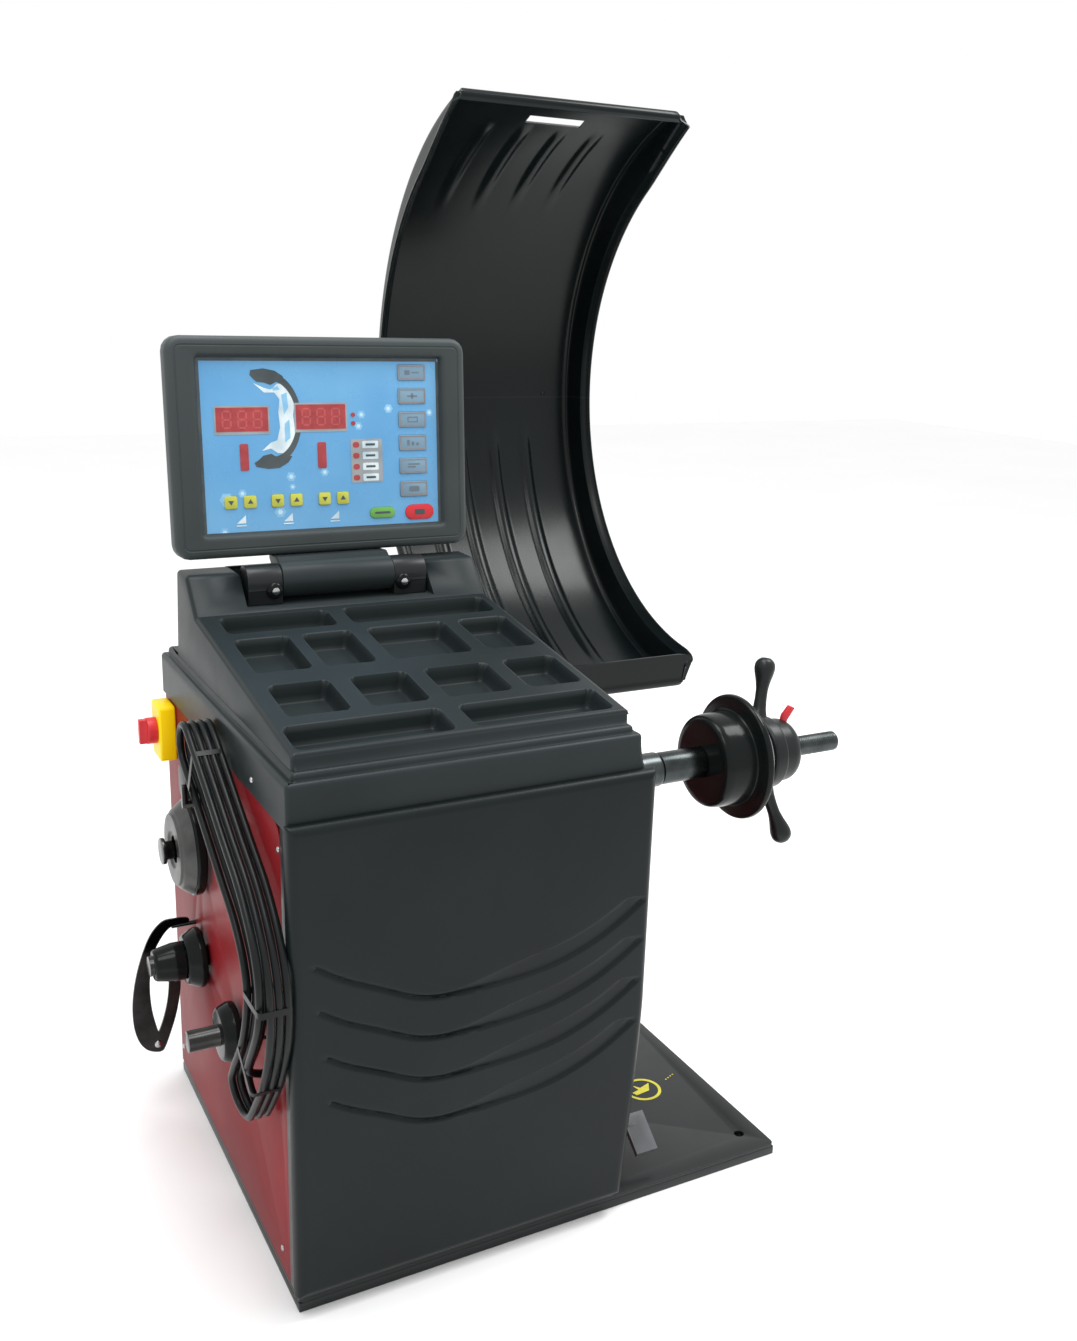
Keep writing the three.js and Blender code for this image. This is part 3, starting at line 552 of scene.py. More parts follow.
# ---- Weight tray ----
DECK_SLOPE = math.atan2(75, 518)
DECK_AT = Vector((0, -0.347, 0.8857))
DECK_MATRIX = Matrix.Translation(DECK_AT) @ Matrix.Rotation(DECK_SLOPE, 4, "X")
TRAY_ROWS = [
    ((6, 82), [(-252, -11), (21, 254)]),
    ((112, 222), [(-231, -134), (-102, -8), (22, 132), (162, 254)]),
    ((272, 408), [(-231, -140), (-118, -34), (-4, 136), (164, 254)]),
    ((436, 506), [(-229, -42), (-14, 254)]),
]
TRAY_EDGE = 0.0078
SKIRT = {"top": 0.842, "height": 0.062, "flare": 0.013}
POCKET = {"depth": 30.0, "corner": 13.0, "wall": 5.0, "fillet": 5.0}


def pocket_depth(x, s):
    """The depth of the deck at (x, s): pockets with drafted walls and round corners."""
    for (s0, s1), edges in TRAY_ROWS:
        if not s0 - 2 < s < s1 + 2:
            continue
        for x0, x1 in edges:
            if not x0 - 2 < x < x1 + 2:
                continue
            radius = POCKET["corner"]
            dx = abs(x - (x0 + x1) / 2) - (x1 - x0) / 2 + radius
            ds = abs(s - (s0 + s1) / 2) - (s1 - s0) / 2 + radius
            outside = math.hypot(max(dx, 0), max(ds, 0)) + min(max(dx, ds), 0) - radius
            return pocket_profile(-outside)
    return 0.0


def pocket_profile(inside):
    """The depth at a distance inside the pocket's rim: a steep wall, a fillet, then the flat floor."""
    depth, wall, fillet = POCKET["depth"], POCKET["wall"], POCKET["fillet"]
    if inside <= 0:
        return 0.0
    if inside < wall:
        return (depth - fillet) * inside / wall
    if inside < wall + fillet:
        return depth - fillet * (1 - math.sin(math.acos(1 - (inside - wall) / fillet)))
    return depth


def make_deck():
    """The top skin of the tray, with its pockets and a rolled front and side edge."""
    left, right, back, roll = -263.8, 273.8, 519.0, 8.0
    xs = steps_between(left, right, 2.1) + [right]
    ss = steps_between(-5.5, 4, 1.2) + steps_between(4, back, 2.1) + [back]
    bm = bmesh.new()
    rows = []
    for s in ss:
        row = []
        for x in xs:
            near = min(x - left, right - x, s + 5.5)
            drop = roll - math.sqrt(max(0.0, roll ** 2 - (roll - near) ** 2)) if near < roll else 0.0
            height = 0.4 - drop - pocket_depth(x, s)
            row.append(bm.verts.new(DECK_MATRIX @ (Vector((x, s, height)) * MM)))
        rows.append(row)
    grid_faces(bm, rows)
    new_piece("tray_deck", bm, "black_plastic", "machine", [f"tray_row_{i}" for i in range(1, 5)], smooth=60,
              look="tray_plastic")


def refill(bm, faces):
    """Splits flat level faces into triangles that stay inside their outline."""
    for face in faces:
        corners = list(face.verts)
        level = corners[0].co.z
        found = delaunay_2d_cdt([v.co.xy for v in corners], [], [list(range(len(corners)))], 1, 1e-6)
        points, triangles, origins = found[0], found[2], found[3]
        made = [corners[origin[0]] if origin else bm.verts.new((*point, level))
                for point, origin in zip(points, origins)]
        bmesh.ops.delete(bm, geom=[face], context="FACES_ONLY")
        for triangle in triangles:
            ends = [made[i] for i in triangle]
            if not bm.faces.get(ends):
                bm.faces.new(ends)


def make_tray_shell():
    """The tray's shell: long outer edges rounded, and the front of its right skirt flared over the cover."""
    bm = node_mesh("weight_tray")

    def is_outer(edge):
        if len(edge.link_faces) != 2 or edge.calc_face_angle_signed(0) < math.radians(12):
            return False
        middle = (edge.verts[0].co + edge.verts[1].co) / 2
        long_enough = edge.calc_length() > 0.009
        at_side = middle.x < -0.2635 or middle.x > 0.2735
        at_front = middle.y < -0.3515
        at_ledge = middle.z > 1.019
        return long_enough and middle.z > 0.79 and (at_side or at_front or at_ledge)

    outer = [edge for edge in bm.edges if is_outer(edge)]
    bevel_edges(bm, outer, TRAY_EDGE, 4, clamp=False)
    for height in (0.788, 0.796, 0.804, 0.812, 0.820, 0.828, 0.836):
        cut = bm.verts[:] + bm.edges[:] + bm.faces[:]
        bmesh.ops.bisect_plane(bm, geom=cut, dist=1e-6, plane_co=(0, 0, height), plane_no=(0, 0, 1))
    bm.normal_update()
    upwards, into_deck = DECK_MATRIX.to_3x3() @ Vector((0, 0, 1)), DECK_MATRIX.inverted()
    under_deck = [f for f in bm.faces if f.normal.dot(upwards) > 0.999
                  and abs((into_deck @ f.calc_center_median()).z) < 0.001]
    bmesh.ops.delete(bm, geom=under_deck, context="FACES_ONLY")
    refill(bm, [f for f in bm.faces
                if len(f.verts) > 4 and abs(f.normal.z) > 0.999 and f.verts[0].co.z > 0.84])
    for vert in bm.verts:
        if vert.co.x > 0.26 and vert.co.z < SKIRT["top"]:
            drop = (SKIRT["top"] - vert.co.z) / SKIRT["height"]
            vert.co.x += SKIRT["flare"] * drop ** 2 * (1 - smoothstep(-0.05, 0.2, vert.co.y))
    new_piece("tray_shell", bm, "black_plastic", "machine", ["weight_tray"], smooth=35, look="tray_plastic")


# ---- Guard ----
HOOD_Y, HOOD_Z, HOOD_R, HOOD_DEPTH = 297.6, 1284.8, 618.6, 77.0
HOOD_LEFT, HOOD_RIGHT, HOOD_FLARE = 322.0, 865.0, 21.0
HOOD_BOTTOM, HOOD_SEAM, HOOD_TOP = -86.0, -2.5, 74.0
END_ROLL = 1.2
HOOD_RIBS = [462, 547, 632, 716]
SHEET = 3.6
END_CORNER = 38
HAND_SLOT = {"left": 534, "right": 663, "low": 64.0, "high": 66.4}


def on_hood(x, angle, radius):
    turn = math.radians(angle)
    return Vector((x, HOOD_Y + radius * math.cos(turn), HOOD_Z + radius * math.sin(turn))) * MM


def rib_height(x, angle):
    """Pressed ribs run round the sheet: long on the lower half, and short ones near the top."""
    height = 0.0
    for centre in HOOD_RIBS:
        low = smoothstep(-76, -62, angle) * (1 - smoothstep(-16, -7, angle))
        high = smoothstep(38, 52, angle) * (1 - smoothstep(60, 63, angle))
        drift = (angle + 40) * 0.12 if angle < 0 else (62 - angle) * -1.1
        away = abs(x - centre - drift)
        height += max(6.5 * low, 4.0 * high) * (1 - smoothstep(3, 17, away))
    return height


def rim_depth(angle):
    """The depth of the side walls: full in the middle, less where the free edge rounds into each end."""
    top = min(1.0, max(0.0, (angle - 55) / 19))
    low = min(1.0, max(0.0, (HOOD_BOTTOM + 4 - angle) / 4))
    return HOOD_DEPTH - 42 * top ** 1.6 - 16 * (1 - math.sqrt(1 - low ** 2))


def end_drop(angle):
    """How far the sheet rolls in next to each end."""
    away = min(angle - HOOD_BOTTOM, HOOD_TOP - angle)
    share = min(1.0, max(0.0, 1 - away / END_ROLL))
    return 11.0 * (1 - math.sqrt(1 - share ** 2))


def hood_section(angle):
    """The (x, radius) points across the guard: turned-out lip, side wall, rounded corner, ribbed sheet."""
    bend = 16.0
    depth = rim_depth(angle)
    outer = HOOD_R - end_drop(angle)
    wall = []
    for i in range(13):
        away = (depth - bend) * (i / 12) ** 1.3
        lip = 14 * (1 - smoothstep(3, 15, away))
        slant = (HOOD_FLARE - 14) * (1 - i / 12)
        wall.append((HOOD_FLARE - lip - slant, HOOD_R - depth + away))
    corner = []
    for i in range(1, 7):
        turn = math.pi / 2 * i / 6
        corner.append((HOOD_FLARE + bend * (1 - math.cos(turn)), HOOD_R - bend + bend * math.sin(turn)))
    side = [(x, min(r, outer)) for x, r in wall + corner]
    left = [(HOOD_LEFT + x, r) for x, r in side]
    right = [(HOOD_RIGHT - x, r) for x, r in reversed(side)]
    span = steps_between(left[-1][0], right[0][0], 4.0)[1:]
    sheet = [(x, outer - rib_height(x, angle)) for x in span]
    return left + sheet + right


def in_hand_slot(x, angle):
    return HAND_SLOT["left"] < x < HAND_SLOT["right"] and HAND_SLOT["low"] < angle < HAND_SLOT["high"]


def make_hood_half(name, node, start, end, end_wall, wall_depth):
    slot = [HAND_SLOT["low"], HAND_SLOT["high"]] if end > HAND_SLOT["low"] else []
    marks = [start, start + END_ROLL, *slot, end - END_ROLL, end]
    angles = []
    for low, high in zip(marks, marks[1:]):
        angles += steps_between(low, high, 1.4 if high - low > 3 else 0.24)
    angles.append(end)
    bm = bmesh.new()
    sections = [hood_section(a) for a in angles]
    rows = [[bm.verts.new(on_hood(x, a, r)) for x, r in section] for a, section in zip(angles, sections)]
    for k in range(len(rows) - 1):
        middle = (angles[k] + angles[k + 1]) / 2
        for i in range(len(rows[k]) - 1):
            if not in_hand_slot((sections[k][i][0] + sections[k][i + 1][0]) / 2, middle):
                bm.faces.new((rows[k][i], rows[k][i + 1], rows[k + 1][i + 1], rows[k + 1][i]))
    at_end = 0 if end_wall == start else -1
    end_rows(bm, rows[at_end], end_wall, wall_depth)
    bmesh.ops.recalc_face_normals(bm, faces=bm.faces)
    centre = Vector((0, HOOD_Y, HOOD_Z)) * MM
    facing = sum(f.normal.dot(centre - f.calc_center_median()) * f.calc_area() for f in bm.faces)
    if facing > 0:
        bmesh.ops.reverse_faces(bm, faces=bm.faces)
    bmesh.ops.solidify(bm, geom=list(bm.faces), thickness=SHEET * MM)
    new_piece(name, bm, "black_plastic", "hood", [node], smooth=40, look="guard_plastic")


def end_rows(bm, edge_row, angle, wall_depth):
    """Closes an end with a wall from the sheet in to `wall_depth`, with its free corners rounded."""
    middle = edge_row[18:-18]
    outer = HOOD_R - end_drop(angle)
    side_depth = rim_depth(angle)
    steps = 14
    above = middle
    lean = 0.16 if angle > 0 else -0.16
    for k in range(1, steps + 1):
        radius = outer - (wall_depth - (HOOD_R - outer)) * k / steps
        past = max(0.0, (HOOD_R - radius - side_depth) / max(wall_depth - side_depth, 1e-6))
        inset = HOOD_FLARE * max(0.0, 1 - (HOOD_R - radius) / side_depth)
        inset += END_CORNER * (1 - math.sqrt(1 - min(past, 1) ** 2))
        left, right = HOOD_LEFT + inset, HOOD_RIGHT - inset
        shift = -lean * smoothstep(14, 20, HOOD_R - radius)
        row = [bm.verts.new(on_hood(left + (right - left) * i / (len(middle) - 1), angle + shift, radius))
               for i in range(len(middle))]
        for i in range(len(middle) - 1):
            bm.faces.new((above[i], above[i + 1], row[i + 1], row[i]))
        above = row


def make_hood():
    make_hood_half("guard_lower", "hood_lower", HOOD_BOTTOM, HOOD_SEAM - 0.001, HOOD_BOTTOM, HOOD_DEPTH)
    make_hood_half("guard_upper", "hood_upper", HOOD_SEAM + 0.001, HOOD_TOP, HOOD_TOP, 26)
    bm = bmesh.new()
    for x in (560, 774):
        add_dome(bm, on_hood(x, HOOD_SEAM + 0.9, HOOD_R - 3.5), on_hood(x, HOOD_SEAM + 0.9, HOOD_R - 15), 5)
    new_piece("guard_bolts", bm, "dark_steel", "hood")
    softened("hood_arm", 0.0015)
    softened("hood_pivot_bracket", 0.0015)


def add_dome(bm, base, tip, radius, rings=5, sides=24):
    """A domed screw head that stands at `base` and faces `tip`."""
    axis = (tip - base).normalized()
    turn = Vector((0, 0, 1)).rotation_difference(axis).to_matrix().to_4x4()
    place = Matrix.Translation(base) @ turn
    height = radius * 0.6
    levels = [(1.0, 0.0), (1.0, 0.15)]
    levels += [(math.cos(math.pi / 2 * k / rings), 0.15 + 0.85 * math.sin(math.pi / 2 * k / rings))
               for k in range(1, rings)]
    stack = []
    for share, rise in levels:
        ring = []
        for i in range(sides):
            angle = 2 * math.pi * i / sides
            reach = radius * share
            at = Vector((reach * math.cos(angle), reach * math.sin(angle), height * rise)) * MM
            ring.append(bm.verts.new(place @ at))
        stack.append(ring)
    tube_faces(bm, stack)
    bm.faces.new(stack[-1])
    bm.faces.new(list(reversed(stack[0])))


# ---- Spindle ----
SPINDLE = (-0.200, 0.714)


def mm(points):
    return [(x * MM, r * MM) for x, r in points]


def make_shaft():
    """The spindle with its bright sleeve, its threaded nose and its rounded end."""
    bm = bmesh.new()
    sides = 72
    pitch, depth = 4.0, 0.9
    body = mm([(0, 0), (0, 18), (430.5, 18), (430.5, 28), (520, 28), (520, 18), (608, 18)])
    profile = rounded_profile(body, 0.0015)
    xs = [(x, r, 0.0) for x, r in profile]
    start, stop = 609, 812
    xs += [(x * MM, 18 * MM, min(1.0, (x - start) / 6, (stop - x) / 4)) for x in range(start, stop)]
    tail = rounded_profile(mm([(813, 18), (816, 18), (821, 13), (822, 0)]), 0.003)
    xs += [(a, b, 0.0) for a, b in tail]
    rings = []
    for at, radius, threaded in xs:
        ring = []
        for i in range(sides):
            share = i / sides
            wave = (at / MM / pitch - share) % 1.0
            cut = depth * MM * threaded * (1 - smoothstep(0.0, 0.35, abs(wave - 0.5)))
            r = max(radius - cut, 0.0)
            angle = 2 * math.pi * share
            across, up = r * math.cos(angle), r * math.sin(angle)
            ring.append(bm.verts.new((at, SPINDLE[0] + across, SPINDLE[1] + up)))
        rings.append(ring)
    tube_faces(bm, rings)
    bmesh.ops.remove_doubles(bm, verts=bm.verts, dist=1e-6)
    new_piece("threaded_spindle", bm, "bright_steel", "spindle", ["spindle_shaft"], look="shaft_steel")


def make_spindle():
    make_shaft()
    bore = 18.4
    turned_piece("spindle_boss", mm([(60, 32.4), (60, 42), (275.8, 42), (276, 60), (280, 60), (283, 57),
                 (284, 42), (290, 33), (302, 30), (426, 30), (430, 28), (430, 19), (272, 19), (272, 32.4)]),
                 SPINDLE, "dark_steel", "machine", ["spindle_housing"], 0.003, look="shaft_steel")
    turned_piece("bell", mm([(520.3, bore), (520.3, 66), (522, 76), (527, 81), (536, 83), (560, 84),
                 (584, 84), (586, 92), (587, 110), (591, 112), (597, 112), (600, 109), (600, 70), (603, 62),
                 (612, 60), (612, bore)]), SPINDLE, "black_enamel", "spindle", ["bell_flange"], 0.003)
    turned_piece("thrust_ring", mm([(612.4, 18.5), (612.4, 75), (615, 79), (617, 80), (621, 80), (625, 77),
                                    (627, 70), (628, 64), (628, 18.5)]), SPINDLE, "bright_steel", "quick_nut",
                 ["pressure_ring"], 0.0015)
    turned_piece("quick_nut_body", mm([(628.4, 18.5), (628.4, 56), (631, 57), (669, 57), (690, 57), (698, 55),
                                       (705, 50), (709, 44), (712, 33), (712, 18.5)]),
                 SPINDLE, "black_paint", "quick_nut", ["nut_body"], 0.003)
    make_nut_handles()
    softened("nut_release_lever", 0.0022)


def make_nut_handles():
    """Two club-shaped grips that stand out of the nut's collar."""
    bm = bmesh.new()
    add_turned(bm, rounded_profile(mm([(640, 57.4), (640, 62), (644, 65), (664, 65), (668, 62), (668, 57.4)]),
                                   0.0015), SPINDLE)
    splay = Matrix.Rotation(math.radians(16), 4, "Y")
    profile = [(62, 0), (65, 16), (70, 14.5), (82, 12), (100, 10.8), (117, 11), (132, 13.6), (145, 17.2),
               (155, 19), (164, 18.2), (170, 14.6), (174, 9), (175, 0)]
    lean = math.radians(15.5)
    for turn in (-lean, math.pi - lean):
        sides = 40
        place = Matrix.Translation((0.6358, *SPINDLE)) @ Matrix.Rotation(turn, 4, "X") @ splay
        rings = []
        for height, radius in rounded_profile(profile[1:-1], 3, 2):
            ring = []
            for i in range(sides):
                angle = 2 * math.pi * i / sides
                at = Vector((radius * math.cos(angle), radius * math.sin(angle), height)) * MM
                ring.append(bm.verts.new(place @ at))
            rings.append(ring)
        tube_faces(bm, rings)
        bm.faces.new(rings[-1])
        bm.faces.new(list(reversed(rings[0])))
    new_piece("nut_grips", bm, "black_paint", "quick_nut", ["nut_handles"])


# ---- Cones and pegs ----
def make_cones():
    large, small, shallow = (0.152, 0.560), (0.148, 0.351), (-0.074, 0.322)
    turned_piece("cone_large_detail", mm([(-280.5, 24), (-280.5, 80), (-283, 84), (-295, 84), (-298, 82),
                 (-298, 24)]), large, "black_enamel", "large_cone", ["cone_large"])
    turned_piece("cone_large_taper", mm([(-298.1, 24), (-298.1, 81.9), (-316, 68), (-318, 64), (-322, 62),
                 (-322, 34), (-318, 30), (-318, 24)]), large, "black_enamel", "large_cone", [],
                 look="machined_face")
    turned_piece("cone_medium_detail", mm([(-280.5, 18.2), (-280.5, 51), (-283, 53), (-291, 53), (-308, 44),
                                           (-312, 41), (-312, 18.2)]), small, "black_enamel", "medium_cone",
                 ["cone_medium"])
    turned_piece("cone_small_detail", mm([(-312.4, 18.2), (-312.4, 33), (-314, 34), (-331, 34), (-361, 28),
                                          (-365, 25), (-365, 18.2)]), small, "black_enamel", "small_cone",
                 ["cone_small"])
    turned_piece("cone_shallow_detail", mm([(-280.5, 18.2), (-280.5, 48), (-283, 50), (-291, 50),
                 (-306, 44), (-310, 40), (-310, 18.2)]), shallow, "black_enamel", "shallow_cone",
                 ["cone_shallow"])


# ---- Display ----
TILT = Matrix.Translation((0, 0.222, 1.003)) @ Matrix.Rotation(math.radians(-4), 4, "X")
FILM = 34.7


def printed(name, outlines, slot, proud):
    """Flat printed shapes that stand a hair proud of the film. Each outline is (x, z) in millimetres."""
    bm = bmesh.new()
    for outline in outlines:
        add_plate(bm, [(x * MM, z * MM) for x, z in outline], (FILM - proud) * MM, (FILM - 0.02) * MM, TILT)
    return new_piece(name, bm, slot, "display")


def rect(x0, x1, z0, z1, radius=2.0):
    return rounded_rect((x0 + x1) / 2, (z0 + z1) / 2, x1 - x0, z1 - z0, radius, 4)


def digit_bars(x, z, width, height, lit="abcdefg"):
    """The seven bars of one numeral."""
    t = width * 0.17
    h, v = width / 2, height / 2
    places = {
        "a": (x - h + t, x + h - t, z + v - t, z + v),
        "g": (x - h + t, x + h - t, z - t / 2, z + t / 2),
        "d": (x - h + t, x + h - t, z - v, z - v + t),
        "f": (x - h, x - h + t, z + t / 2, z + v - t),
        "b": (x + h - t, x + h, z + t / 2, z + v - t),
        "e": (x - h, x - h + t, z - v + t, z - t / 2),
        "c": (x + h - t, x + h, z - v + t, z - t / 2),
    }
    return [rect(*places[bar], 0.6) for bar in lit]


def rim_arc(low, high, inner, outer, centre=(-93, 277), squash=1.5, steps=26):
    """A crescent band about the wheel drawing's centre, between two angles in degrees."""
    def at(angle, radius):
        turn = math.radians(angle)
        return (centre[0] + radius * math.cos(turn), centre[1] + radius * squash * math.sin(turn))

    angles = [low + (high - low) * i / steps for i in range(steps + 1)]
    return [at(a, outer(a)) for a in angles] + [at(a, inner(a)) for a in reversed(angles)]


def make_wheel_print():
    """The half section of a wheel: a dark tyre round a pale rim, with a bead foot at each end."""
    def slim(angle):
        return smoothstep(0, 88, abs(angle))

    tyre = rim_arc(-84, 84, lambda a: 45 - 1.5 * slim(a), lambda a: 54 - 2 * slim(a))
    printed("wheel_tyre_print", [tyre], "dark_print", 0.4)
    top_foot = [(-128, 352), (-126, 360), (-104, 363), (-84, 359), (-70, 350), (-66, 340), (-80, 341),
                (-92, 335), (-104, 339), (-116, 340), (-123, 346)]
    low_foot = [(-126, 202), (-123, 195), (-102, 191), (-82, 192), (-66, 201), (-58, 212), (-72, 213),
                (-84, 210), (-96, 217), (-110, 214), (-118, 207)]
    printed("wheel_feet_print", [top_foot, low_foot], "dark_print", 0.5)
    rim = [(-122, 338), (-104, 330), (-92, 327), (-80, 337), (-66, 336), (-55, 326), (-50, 306), (-54, 284),
           (-52, 262), (-49, 240), (-56, 222), (-68, 217), (-84, 218), (-96, 226), (-112, 222), (-96, 236),
           (-84, 240), (-78, 262), (-80, 288), (-77, 310), (-86, 322), (-104, 322)]
    printed("wheel_rim_print", [rim], "white_print", 0.3)
    shades = [[(-74, 318), (-64, 322), (-62, 296), (-70, 284)],
              [(-70, 268), (-61, 276), (-60, 244), (-70, 236)],
              [(-90, 330), (-80, 333), (-76, 327), (-88, 325)]]
    printed("wheel_shade_print", shades, "film_glow", 0.36)


def make_display_print():
    make_wheel_print()
    printed("readout_frames", [rect(-193, -96, 251, 300, 2), rect(-52, 45, 253, 304, 2)], "grey_print", 0.5)
    printed("readout_windows", [rect(-190, -99, 256, 297, 1), rect(-49, 42, 258, 301, 1),
                                rect(-151, -136, 189, 235, 3), rect(-12, 4, 189, 235, 3)], "led_red", 0.9)
    digits = []
    for left, middle in ((-144.5, 276.5), (-3.5, 279.5)):
        for step in (-27, 0, 27):
            digits += digit_bars(left + step, middle, 17, 31)
    printed("readout_digits", digits, "led_lit", 1.05)
    printed("mode_block", [rect(50, 110, 161, 239, 3)], "grey_print", 0.5)
    rows = [170 + i * 19.6 for i in range(4)]
    printed("mode_dots", [rect(54, 66, z - 5, z + 5, 4.5) for z in rows]
            + [rect(52, 60, 278, 286, 3.9), rect(52, 60, 263, 271, 3.9)], "led_red", 0.9)
    printed("mode_boxes", [rect(72, 102, z - 6.5, z + 6.5, 2) for z in rows], "white_print", 0.8)
    printed("mode_marks", [rect(78, 96, z - 2, z + 2, 0.8) for z in rows], "dark_print", 0.95)
    icons = []
    for x in (-154, -70, 16):
        icons += [[(x - 8, 98), (x + 8, 112), (x + 8, 98)], rect(x - 9, x + 9, 93, 95, 0.5)]
    printed("adjust_icons", icons, "white_print", 0.5)
    sparkles = []
    for x, z, size in ((124, 292, 9), (204, 284, 7), (-178, 140, 13), (-62, 176, 9), (-84, 115, 11),
                       (-184, 84, 9), (66, 262, 8), (0, 182, 8), (72, 282, 8), (-150, 150, 8), (-60, 158, 6)):
        sparkles.append(([star(x, z, size, 0.8)], [star(x, z, size * 0.5, 0.7)]))
    printed("film_sparkles", [s for wide, _ in sparkles for s in wide], "film_glow", 0.1)
    printed("film_glints", [s for _, core in sparkles for s in core], "film_glint", 0.16)


def star(x, z, size, waist, arms=6):
    """A soft star with `arms` points."""
    points = []
    for k in range(2 * arms):
        radius = size if k % 2 == 0 else size * waist
        angle = math.pi * k / arms
        points.append((x + radius * math.cos(angle), z + radius * math.sin(angle)))
    return points


KEY_SIGNS = [
    lambda z: [rect(156, 166, z - 4, z + 4, 1), rect(170, 184, z - 1, z + 1, 0.5)],
    lambda z: [rect(160, 180, z - 1.2, z + 1.2, 0.6), rect(168, 172, z - 5, z + 5, 1)],
    lambda z: frame_outline(170, z, 20, 10, 1.8),
    lambda z: [rect(158, 163, z - 5, z + 5, 1), rect(167, 172, z - 5, z + 2, 1), rect(176, 181, z - 5, z, 1)],
    lambda z: [rect(158, 182, z + 2, z + 4.4, 0.8), rect(158, 174, z - 3, z - 0.6, 0.8)],
    lambda z: [rect(160, 180, z - 5, z + 5, 3)],
]


def make_key_prints():
    """A small mark on each key, which rides with its key."""
    for i in range(6):
        z = 356 - i * 42
        key_mark(f"function_key_{i + 1}", KEY_SIGNS[i](z), "key_ink")
        key_mark(f"function_key_{i + 1}", frame_outline(170, z, 51, 25, 2.2), "key_rim", "rim")
    for i, x in enumerate((-154, -71, 15)):
        for k, side in enumerate((-17, 17)):
            cx = x + side
            upward = [(cx - 5, 132), (cx + 5, 132), (cx, 140)]
            downward = [(cx - 5, 138), (cx, 130), (cx + 5, 138)]
            key_mark(f"adjust_key_{i + 1}", [upward if k else downward], "dark_print", f"arrow_{k}")
    key_mark("start_key", [rect(92, 122, 103, 107, 1.5)], "dark_print")
    key_mark("stop_key", [rect(170, 190, 98, 108, 2)], "dark_print")


def frame_outline(x, z, width, height, line):
    w, h = width / 2, height / 2
    return [rect(x - w, x + w, z + h - line, z + h, 0.5), rect(x - w, x + w, z - h, z - h + line, 0.5),
            rect(x - w, x - w + line, z - h + line, z + h - line, 0.5),
            rect(x + w - line, x + w, z - h + line, z + h - line, 0.5)]


KEY_MARK_FRONT, KEY_MARK_BACK = 32.35, 32.58


def key_mark(key, outlines, slot, tag="mark"):
    bm = bmesh.new()
    for outline in outlines:
        add_plate(bm, [(x * MM, z * MM) for x, z in outline], KEY_MARK_FRONT * MM, KEY_MARK_BACK * MM, TILT)
    new_piece(f"{key}_{tag}", bm, slot, BODY_OF[key])


def make_bezel():
    """The display's frame: a rounded outer edge, a fine groove round a flat face, and a stepped window."""
    outer = (-272, 272, 40, 417, 26)
    window = (-220, 223, 81, 381, 4)
    levels = [(outer, 0, 54), (outer, 0, 33), (outer, 0.8, 29), (outer, 2.6, 26), (outer, 5.6, 23.6),
              (outer, 9, 22.4), (outer, 14, 22), (outer, 15, 22.7), (outer, 16.6, 22.7), (outer, 17.6, 22),
              (window, -11, 22), (window, -7, 22.6), (window, -4, 24.4), (window, -2, 28), (window, 0, 34.5),
              (window, -3, 34.5), (window, -3, 54)]
    bm = bmesh.new()
    rings = []
    for (x0, x1, z0, z1, radius), inset, depth in levels:
        outline = rect(x0 + inset, x1 - inset, z0 + inset, z1 - inset, max(radius - inset, 2.5))
        rings.append([bm.verts.new(TILT @ Vector((x * MM, depth * MM, z * MM))) for x, z in outline])
    tube_faces(bm, rings, closed=True)
    new_piece("bezel", bm, SLOT_OF["display_bezel"], "display", ["display_bezel"], look="bezel_plastic")
    # Painted shade: dark bands printed on the film along the inside of the window, wider at the left, top and
    # right than at the bottom, standing in for the shade that the window's inner wall casts on the film.
    window_shade = [rect(-220, -214.5, 81, 381, 0.5), rect(-214.5, 220, 375.5, 381, 0.5),
              rect(217.5, 223, 81, 375.5, 0.5), rect(-214.5, 217.5, 81, 83, 0.5)]
    printed("window_edge_painted_shade", window_shade, "dark_print", 0.3)


def make_display():
    make_bezel()
    softened("display_back", 0.008, 4)
    softened("display_hinge_arm", 0.003, look="tray_plastic")
    softened("display_hinge_mount", 0.004)
    for key in [n for n in frame["nodes"] if "_key" in n]:
        softened(key, 0.0012, 2, look="yellow_key" if key.startswith("adjust") else None)
    make_display_print()
    make_key_prints()
    bm = bmesh.new()
    washers = bmesh.new()
    for x in (-118, 120):
        face = Vector((x, 195.6, 990)) * MM
        add_dome(washers, face, face + Vector((0, -1, 0)), 15)
        add_dome(bm, face + Vector((0, -5 * MM, 0)), face + Vector((0, -1, 0)), 8)
    new_piece("hinge_screws", bm, "bright_steel", "machine")
    new_piece("hinge_bosses", washers, "black_enamel", "machine")


# ---- Small fittings ----
def make_left_side():
    softened("isolator_box", 0.004)
    softened("isolator_knob", 0.0014)
    make_caliper()
    softened("peg_plate", 0.0012, 2, corner=40)
    bm = bmesh.new()
    for y, z in ((-318, 736), (-337, 412), (-290, 60), (350, 60), (350, 740)):
        add_dome(bm, Vector((-275, y, z)) * MM, Vector((-290, y, z)) * MM, 5)
    add_dome(bm, Vector((-279, -206, 802)) * MM, Vector((-290, -206, 802)) * MM, 5)
    for y in (-300, 0, 300):
        for z in (80, 720):
            if (y, z) != (-300, 720):
                add_dome(bm, Vector((275, y, z)) * MM, Vector((290, y, z)) * MM, 5)
    new_piece("cabinet_screws", bm, "bright_steel", "machine")


def smooth_closed(points, steps=6):
    """A closed curve through the points, by Catmull-Rom pieces."""
    count = len(points)
    made = []
    for i in range(count):
        p0, p1, p2, p3 = (Vector(points[(i + k) % count]) for k in (-1, 0, 1, 2))
        for step in range(steps):
            t = step / steps
            made.append(tuple((p1 * 2 + (p2 - p0) * t + (p0 * 2 - p1 * 5 + p2 * 4 - p3) * t * t
                               + (p1 * 3 - p0 - p2 * 3 + p3) * t ** 3) / 2))
    return made


